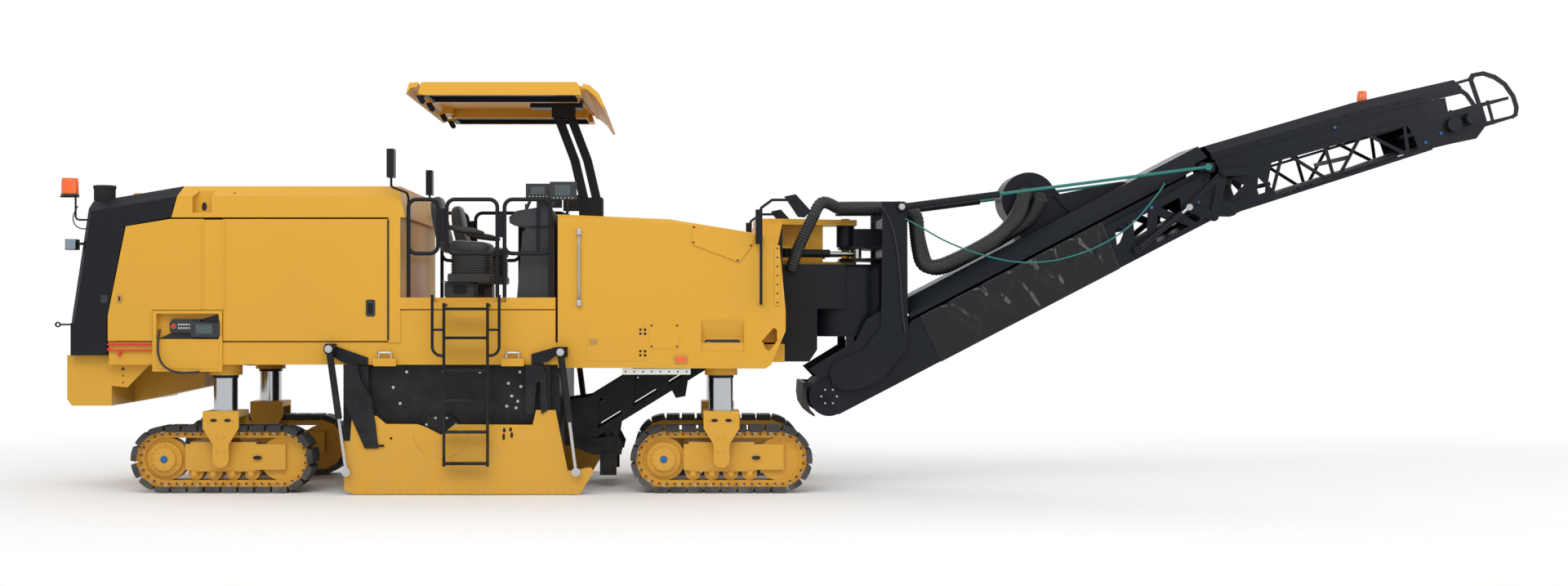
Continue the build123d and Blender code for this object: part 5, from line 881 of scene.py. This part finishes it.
for name, side in SIDES:
    for label, outline, proud, coat, door in DOOR_PLATES:
        stuck_on(f"{label}_{name}", outline, proud, coat, side, f"door_{door}_{name}")
    steps = np.arange(1860, 2730, 44.0)
    z_pins = np.concatenate([steps, steps + 22])
    for label, x, x_pins in HINGES:
        body = f"door_{label}_{name}"
        leaf = box_outline((x - 14, x + 14), (1850, 2736))
        stuck_on(f"hinge_leaf_{label}_{name}", leaf, 5, yellow, side, body)
        heads(f"hinge_pins_{label}_{name}", side, x_pins, 1254.5, z_pins, 0.006, yellow, body, 0.004)
    latch = box_outline((-7180, -7110), (1905, 1985), 12)
    stuck_on(f"cowl_latch_{name}", latch, 4, moulding, side, y=COWL_Y)
    seam = box_outline((-7330, -7010), (1613, 1620))
    stuck_on(f"cowl_seam_{name}", seam, 1.2, hollow_dark, side, y=COWL_Y, bevel=0)
    z = np.linspace(1450, 2800, 12)
    x = -7335 + (z - 1382) / (2925 - 1382) * 62
    heads(f"cowl_screws_{name}", side, x, COWL_Y, z, 0.008, black)
    grip, vent = ring_outline((-6166, 2872), (26, 44)), ring_outline((-5850, 3000), (16, 9))
    stuck_on(f"hood_grip_{name}", grip, 2, hollow_dark, side, "hood", 1165)
    stuck_on(f"hood_vent_{name}", vent, 1, hollow_dark, side, "hood", 1212)
    bar = box_outline((-7108, -6665), (1482, 1503), 4)
    stuck_on(f"lock_bar_{name}", bar, 12, red, side, y=SKIRT_Y)
    stuck_on(f"lock_bar_low_{name}", LOCK_BAR_LOW, 12, red, side, y=SKIRT_Y)
print("door hardware made")

# %% [markdown]
# ## Control station
# A low control box at each rear corner holds a keypad, a stop button and a display. Its lettering is left
# off. Buttons are small domes in two rows, and the display is a dark glass face in a moulded frame.

# %% Keypads, displays, monitors
STATION_CABLE = (
    (-6590, 1236, 1640), (-6605, 1300, 1500), (-6560, 1330, 1290), (-6380, 1325, 1195), (-6180, 1300, 1222)
)
MONITORS = (((-2971, -2716), (2976, 3125), 820), ((-2712, -2443), (2950, 3131), 1010))  # x, z, middle's y
KEYS = (  # name, places across, places up, y, radius, finish, height
    ("station_keys", np.linspace(-6405, -6300, 5), (1655.0, 1690.0), 1225.5, 0.0075, gauge_white, 0.004),
    ("display_keys", (-6245.0, -6030.0), np.linspace(1605, 1685, 5), 1278, 0.007, moulding, 0.004),
    ("tank_keys", np.linspace(-1045, -890, 8), (1478.0, 1504.0), 1200.5, 0.006, gauge_white, 0.003),
)


def stop_button(name, x, z, y, side):
    """A red mushroom button on a yellow ring."""
    panel(f"{name}_ring", side, ring_outline((x, z), (26, 26)), (y, y + 7), plated_gold, bevel=0.001)
    heads(name, side, x, y + 8, z, 0.016, red, height=0.022)


for name, side in SIDES:
    for label, across, up, y, size, coat, height in KEYS:
        x, z = np.meshgrid(across, up)
        heads(f"{label}_{name}", side, x, y, z, size, coat, height=height)
    stop_button(f"station_stop_{name}", -6455, 1672, 1226, side)
    screen = box_outline((-6222, -6058), (1600, 1688), 8)
    panel(f"station_screen_{name}", side, screen, (1270, 1280), screen_glass, bevel=0.001)
    pipe(f"station_cable_{name}", side, STATION_CABLE, 0.012, hose_rubber)
    keypad = box_outline((-1150, -795), (1440, 1540), 16)
    stuck_on(f"tank_keypad_{name}", keypad, 10, moulding, side, y=1190)
    stop_button(f"tank_stop_{name}", -1110, 1492, 1200, side)
    for number, ((x0, x1), (z0, z1), y_middle) in enumerate(MONITORS, 1):
        y = y_middle + 30
        face = box_outline((x0 + 6, x1 - 6), (z0 + 6, z1 - 6), 12)
        panel(f"monitor_face_{number}_{name}", side, face, (y - 2, y + 3), moulding)
        screen = box_outline((x0 + 52, x1 - 60), (z0 + 40, z1 - 34), 6)
        panel(f"monitor_screen_{number}_{name}", side, screen, (y, y + 4), screen_glass, bevel=0.001)
        keys = np.linspace(x0 + 40, x1 - 40, 6)
        heads(f"monitor_keys_{number}_{name}", side, keys, y + 3, z0 + 17, 0.005, gauge_white, height=0.002)
    switch = box_outline((-2560, -2500), (2690, 2800), 8)
    panel(f"tip_switch_{name}", side, switch, (1085, 1150), moulding)
    pipe(f"tip_switch_post_{name}", side, ((-2530, 1118, 2790), (-2530, 1118, 2950)), 0.012, black)
print("controls made")

# %% [markdown]
# ## Tank side
# The tank's side has a sight tube, a service door with two pairs of hinges, a bolted cover, an orange
# side marker and, under the skirt, a pale steel gauge bar.

# %% Sight tube, service door, marker and gauge
glass_tube = finish("sight_tube", "bare_steel", (160, 154, 142), 0.25, 0.1, 0.05, bump=0.0, coat=0.3)
SIGHT_X, TANK_Y = -2404, 1262
TANK_PLATES = (  # name, outline, how proud, finish
    ("service_door", box_outline((-2328, -1768), (1326, 1712), 10), 3.5, yellow),
    ("service_latch", box_outline((-2300, -2218), (1488, 1550), 12), 7, plated_gold),
    ("bolted_cover", box_outline((-1705, -1400), (1448, 1704), 6), 3.5, yellow),
    ("side_marker", box_outline((-1452, -1326), (1304, 1386), 10), 12, plated_gold),
    ("side_marker_lens", box_outline((-1440, -1338), (1316, 1374), 8), 15, orange),
    ("side_rail", box_outline((-450, -400), (1880, 2480), 6), 10, yellow),
)
TANK_HEADS = (  # name, x, z, y, radius, height
    ("service_hinges", *np.meshgrid((-1792.0, -1745.0), (1385.0, 1425, 1600, 1640)), 1253, 0.010, 0.006),
    ("cover_bolts", *np.meshgrid((-1680.0, -1425.0), (1472.0, 1680.0)), 1253, 0.008, 0.006),
    ("gauge_bolts", np.linspace(-1940, -1330, 8), 1221.0, 1237, 0.007, 0.004),
    ("tank_cover_screws", np.array([-1255.0, -1262, -820, -690]), np.array([2660.0, 2510, 2330, 2480]),
     TANK_Y, 0.008, 0.005),
    ("side_rail_bolts", -425.0, np.linspace(1910, 2450, 7), 1260, 0.007, 0.005),
)
for name, side in SIDES:
    for label, low, high, size, coat in (
        ("sight_tube", 1930, 2590, 0.016, glass_tube),
        ("sight_fitting_1876", 1876, 1935, 0.024, zinc),
        ("sight_fitting_2585", 2585, 2645, 0.024, zinc),
    ):
        ends = ((SIGHT_X, TANK_Y, low), (SIGHT_X, TANK_Y, high))
        pipe(f"{label}_{name}", side, ends, size, coat, sides=18)
    for label, outline, proud, coat in TANK_PLATES:
        stuck_on(f"{label}_{name}", outline, proud, coat, side)
    gauge = box_outline((-1975, -1290), (1190, 1252), 5)
    panel(f"gauge_bar_{name}", side, gauge, (1225, 1237), gauge_white)
    for label, x, z, y, size, height in TANK_HEADS:
        heads(f"{label}_{name}", side, x, y, z, size, black, height=height)
print("tank side made")

# %% [markdown]
# ## Milling unit
# The rotor housing is bolted together with pale zinc bolts, which stand out on the black plate. The yellow
# side plate has bolts along its wear strip and a few access holes, and chrome clamps hold the housing up.

# %% Housing bolts and side plate
HOUSING_Y, PLATE_OUT = 1180.0, 1305.0
HOUSING_BOLTS = np.array([  # x, z
    (-4641, 1216), (-4641, 1045), (-4134, 1216), (-4269, 1061), (-3766, 1216), (-3400, 1216), (-3115, 1102),
    (-2990, 1069), (-3082, 975), (-3021, 922), (-3132, 873), (-3038, 856), (-4560, 900), (-4200, 900),
    (-3000, 1216),
], float)
DRUM_X, HUB_Z, ARCH_Z = -3773.0, 591.0, 640.0
ARCH_PROFILE = ((283, 1303), (283, 1306.2), (278, 1306.2), (278, 1303))  # radius and y of the plate's seam
ACCESS_HOLES = (  # x, z, half width, half height
    (-3144, 640, 16, 24), (-3082, 648, 15, 22), (-3150, 575, 15, 34), (-3070, 592, 15, 30),
    (-4270, 560, 14, 14),
)
CLAMP_Y = 1275
for name, side in SIDES:
    body = f"side_plate_{name}"
    x, z = HOUSING_BOLTS.T
    heads(f"housing_bolts_{name}", side, x, HOUSING_Y + 0.5, z, 0.012, zinc)
    x, z = ring_outline((DRUM_X, HUB_Z), (180, 180), 10).T
    heads(f"hub_cover_bolts_{name}", side, x, 1296.5, z, 0.009, zinc, height=0.0045)
    x = np.arange(-4500, -2350, 78.0)
    heads(f"wear_strip_bolts_{name}", side, x, PLATE_OUT, 52.0, 0.010, yellow, body, 0.005)
    arc = np.linspace(-0.96 * pi, -0.04 * pi, 60)
    lines = [at(DRUM_X + r * np.cos(arc), side * y, ARCH_Z + r * np.sin(arc)) for r, y in ARCH_PROFILE]
    closed_tube(f"plate_joint_{name}", np.stack(lines, 1), plated_gold, body)
    for k, (x, z, half_x, half_z) in enumerate(ACCESS_HOLES):
        hole = ring_outline((x, z), (half_x, half_z), 24)
        panel(f"access_hole_{k}_{name}", side, hole, (PLATE_OUT - 2, PLATE_OUT + 0.8), hollow_dark, body, 0)
    for k, x in enumerate((-4337.0, -3063.0)):
        foot = box_outline((x - 115, x + 115), (1276, 1352), 8)
        panel(f"clamp_foot_{k}_{name}", side, foot, (1242, 1300), yellow, bevel=0.004)
        for dx in (-60, 60):
            bar = ((x + dx, CLAMP_Y, 1345), (x + dx, CLAMP_Y, 1415))
            pipe(f"clamp_bar_{k}_{dx}_{name}", side, bar, 0.011, chrome)
        cross = ((x - 75, CLAMP_Y, 1410), (x + 75, CLAMP_Y, 1410))
        pipe(f"clamp_cross_{k}_{name}", side, cross, 0.011, chrome)
    for label, x, z in (("rear", -4876.0, 1450.0), ("front", -2581.0, 1418.0)):
        heads(f"cylinder_pin_{label}_{name}", side, x, 1400, z, 0.03, zinc, height=0.008)
    for label, x in (("rear", -4706.0), ("front", -2428.0)):
        heads(f"eye_pin_{label}_{name}", side, x, 1388, 230.0, 0.024, zinc, body, 0.01)
print("milling unit made")

# %% [markdown]
# ## Conveyor hardware
# The conveyor's pins have blue caps, its covers are held by small bolts along their creases, and the tail
# pulley's hub shows at the sides.

# %% Caps, cover bolts and hubs
BOOM_CAPS = np.array([(3620, 60), (4080, -110), (4260, -190)], float)  # along, square
TIP_CAPS = np.array([(1300, 470), (2150, 20), (2330, 60)], float)
TAIL_X, _, TAIL_Z = on_boom(-263.0, 0.0, -131.0) * 1000 - (DATUM_X, 0, 0)
POST_HOSE = ((700, 574, 2900), (800, 585, 2760), (880, 580, 2300), (905, 580, 1760), (940, 580, 1600))
for name, side in SIDES:
    out = (0, side, 0)
    along = np.arange(950, 4300, 210.0)
    bolts(f"cover_bolts_low_{name}", on_boom(along, side * 500.6, 228.0), out, 0.009, blue_black, "boom")
    along = np.arange(120, 2600, 190.0)
    drop = np.interp(along, (-14, 1600, 2689), (0, 62, 170))
    bolts(f"cover_bolts_top_{name}", on_tip(along, side * 450.6, 600 - drop), out, 0.008, blue_black, "tip")
    along, square = BOOM_CAPS.T
    bolts(f"boom_caps_{name}", on_boom(along, side * 501, square), out, 0.015, clip_blue, "boom")
    along, square = TIP_CAPS.T
    bolts(f"tip_caps_{name}", on_tip(along, side * 455, square), out, 0.013, clip_blue, "tip")
    for radius, proud in ((95, 8), (66, 20), (36, 34)):
        disc = ring_outline((TAIL_X, TAIL_Z), (radius, radius), 40)
        panel(f"tail_hub_{radius}_{name}", side, disc, (498, 500 + proud), blue_black, "boom", 0.004)
    x, z = ring_outline((TAIL_X, TAIL_Z), (80, 80), 6).T
    heads(f"tail_hub_bolts_{name}", side, x, 508, z, 0.009, zinc, "boom")
    heads(f"post_caps_{name}", side, 895.0, 642.0, 2902.0, 0.026, zinc, "post")
    pipe(f"post_hose_{name}", side, POST_HOSE, 0.011, hose_rubber, "post")
print("conveyor hardware made")

# %% [markdown]
# ## Lamps and beacon
# The amber beacon is a ribbed lens: a cylinder whose radius rises and falls a little round its axis, with a
# domed top. A lamp is a dark box with a pale lens on its face.

# %% Beacons and lamps
BEACON = ((83, 22), (83, 30), (82, 150), (79, 168), (70, 179), (30, 183))  # radius, height
BEACON_FOOT = ((86, 0), (88, 6), (88, 20), (84, 24))
TIP_BEACON = ((48, -20), (50, 0), (49, 88), (40, 100), (14, 104))
BOWL = ((101, 4), (104, 20), (104, 120), (110, 140), (112, 158), (96, 166))
BEACON_WIRE = (
    (-7440, 1150, 2880), (-7490, 1160, 2790), (-7480, 1150, 2690), (-7400, 1130, 2640), (-7330, 1130, 2660)
)


def lathe_ribbed(name, centre, profile, ribs, depth, material, body, around=96):
    """A round body from a profile of (r, z): each radius times (1 + depth * cosine of ribs * angle)."""
    swell = 1 + depth * np.cos(ribs * np.linspace(0, 2 * pi, around, endpoint=False))
    rings = []
    for radius, z in profile:
        x, y = ring_outline((0, 0), (radius, radius), around).T * swell
        rings.append(at(centre[0] + x, centre[1] + y, centre[2] + z))
    return closed_tube(name, rings, material, body)


for name, side in SIDES:
    centre = (-7518.0, side * 1150.0, 2975.0)
    lathe_ribbed(f"beacon_lens_{name}", centre, BEACON, 32, 0.012, orange, "base")
    lathe_ribbed(f"beacon_foot_{name}", centre, BEACON_FOOT, 1, 0.0, moulding, "base", 48)
    lens = box_outline((-7546, -7443), (2442, 2540), 12)
    panel(f"lamp_lens_{name}", side, lens, (1209, 1213), mirror_glass, bevel=0.002)
    pipe(f"beacon_wire_{name}", side, BEACON_WIRE, 0.006, hose_rubber)
tip_place = on_tip(1841.0, 0.0, 640.0) * 1000 - (DATUM_X, 0, 0)
lathe_ribbed("tip_beacon_lens", tip_place, TIP_BEACON, 24, 0.012, orange, "tip")
lathe_ribbed("cleaner_bowl", (-7225.0, -980.0, 2930.0), BOWL, 40, 0.02, hollow_dark, "base", 160)
print("lamps made")

# %% [markdown]
# ## Light and camera
# A pale floor that fades out to the white behind it, one broad lamp above and ahead, a second from the
# camera's side and a white sky give plain studio light. White behind the machine is a matter of what the
# camera sees, so the sky is brighter for camera rays only.

# %% Floor, lamps, sky and camera
FLOOR_RINGS = (0.01, 6, 14, 24, 34)


def make_floor():
    """A wide disc of rings round the machine; its material turns clear towards the rim."""
    rings = [np.pad(circle(radius, 96), ((0, 0), (0, 1)), constant_values=-0.004) for radius in FLOOR_RINGS]
    faces = grid_faces(len(FLOOR_RINGS), 96, False, True)
    mesh = bpy.data.meshes.new("studio_floor")
    mesh.from_pydata(np.concatenate(rings).tolist(), [], faces.tolist())
    floor = bpy.data.objects.new("studio_floor", mesh)
    bpy.context.scene.collection.objects.link(floor)
    material = bpy.data.materials.new("floor_paper")
    material.use_nodes = True
    tree = material.node_tree
    shader, out = tree.nodes["Principled BSDF"], tree.nodes["Material Output"]
    shader.inputs["Base Color"].default_value = (0.86, 0.86, 0.86, 1)
    shader.inputs["Roughness"].default_value = 0.9
    place = tree.nodes.new("ShaderNodeTexCoord").outputs["Object"]
    length = tree.nodes.new("ShaderNodeVectorMath")
    length.operation = "LENGTH"
    scaled = tree.nodes.new("ShaderNodeVectorMath")
    scaled.operation = "MULTIPLY"
    scaled.inputs[1].default_value = (0.55, 1.0, 1.0)
    tree.links.new(place, scaled.inputs[0])
    tree.links.new(scaled.outputs["Vector"], length.inputs[0])
    clear = tree.nodes.new("ShaderNodeBsdfTransparent")
    fade = tree.nodes.new("ShaderNodeMixShader")
    tree.links.new(ranged(tree, length.outputs["Value"], 3.2, 9.0), fade.inputs[0])
    tree.links.new(shader.outputs[0], fade.inputs[1])
    tree.links.new(clear.outputs[0], fade.inputs[2])
    tree.links.new(fade.outputs[0], out.inputs["Surface"])
    mesh.materials.append(material)


def make_sky(light=0.8):
    """White for the camera and for what shines or shows through; softer white as light on the machine."""
    world = bpy.data.worlds.new("studio_sky")
    bpy.context.scene.world = world
    world.use_nodes = True
    tree = world.node_tree
    back = tree.nodes["Background"]
    rays = tree.nodes.new("ShaderNodeLightPath")
    seen = maths(tree, "MAXIMUM", rays.outputs["Is Camera Ray"], rays.outputs["Is Transmission Ray"])
    back.inputs["Color"].default_value = (1, 1, 1, 1)
    tree.links.new(ranged(tree, seen, 0.0, 1.0, light, 1.0), back.inputs["Strength"])


def lamp(name, place, aim, size, power):
    """A broad area lamp at a place, turned to its aim."""
    data = bpy.data.lights.new(name, "AREA")
    data.shape, data.size, data.size_y, data.energy = "RECTANGLE", size[0], size[1], power
    piece = bpy.data.objects.new(name, data)
    bpy.context.scene.collection.objects.link(piece)
    piece.location = place
    piece.rotation_euler = (Vector(aim) - Vector(place)).to_track_quat("-Z", "Y").to_euler()


make_floor()
make_sky()
lamp("key_lamp", (-4, -9, 10), (0, 0, 1.5), (12, 5), 650)
lamp("front_lamp", (11, -6, 7), (2, 0, 2), (6, 5), 260)
lamp("back_lamp", (0, 9, 9), (0, 0, 1.5), (12, 4), 350)

camera = bpy.data.objects.new("studio_camera", bpy.data.cameras.new("studio_camera"))
bpy.context.scene.collection.objects.link(camera)
camera.location = tuple(at(-1377.0, -18750.0, 1830.0))
camera.rotation_euler = (radians(90), 0, 0)
camera.data.lens, camera.data.sensor_width = 40.26, 36.0
camera.data.shift_x, camera.data.shift_y = 0.0651, 0.0112
camera.data.clip_end = 200
bpy.context.scene.camera = camera
bpy.context.scene.view_settings.view_transform = "Standard"
print("studio made")
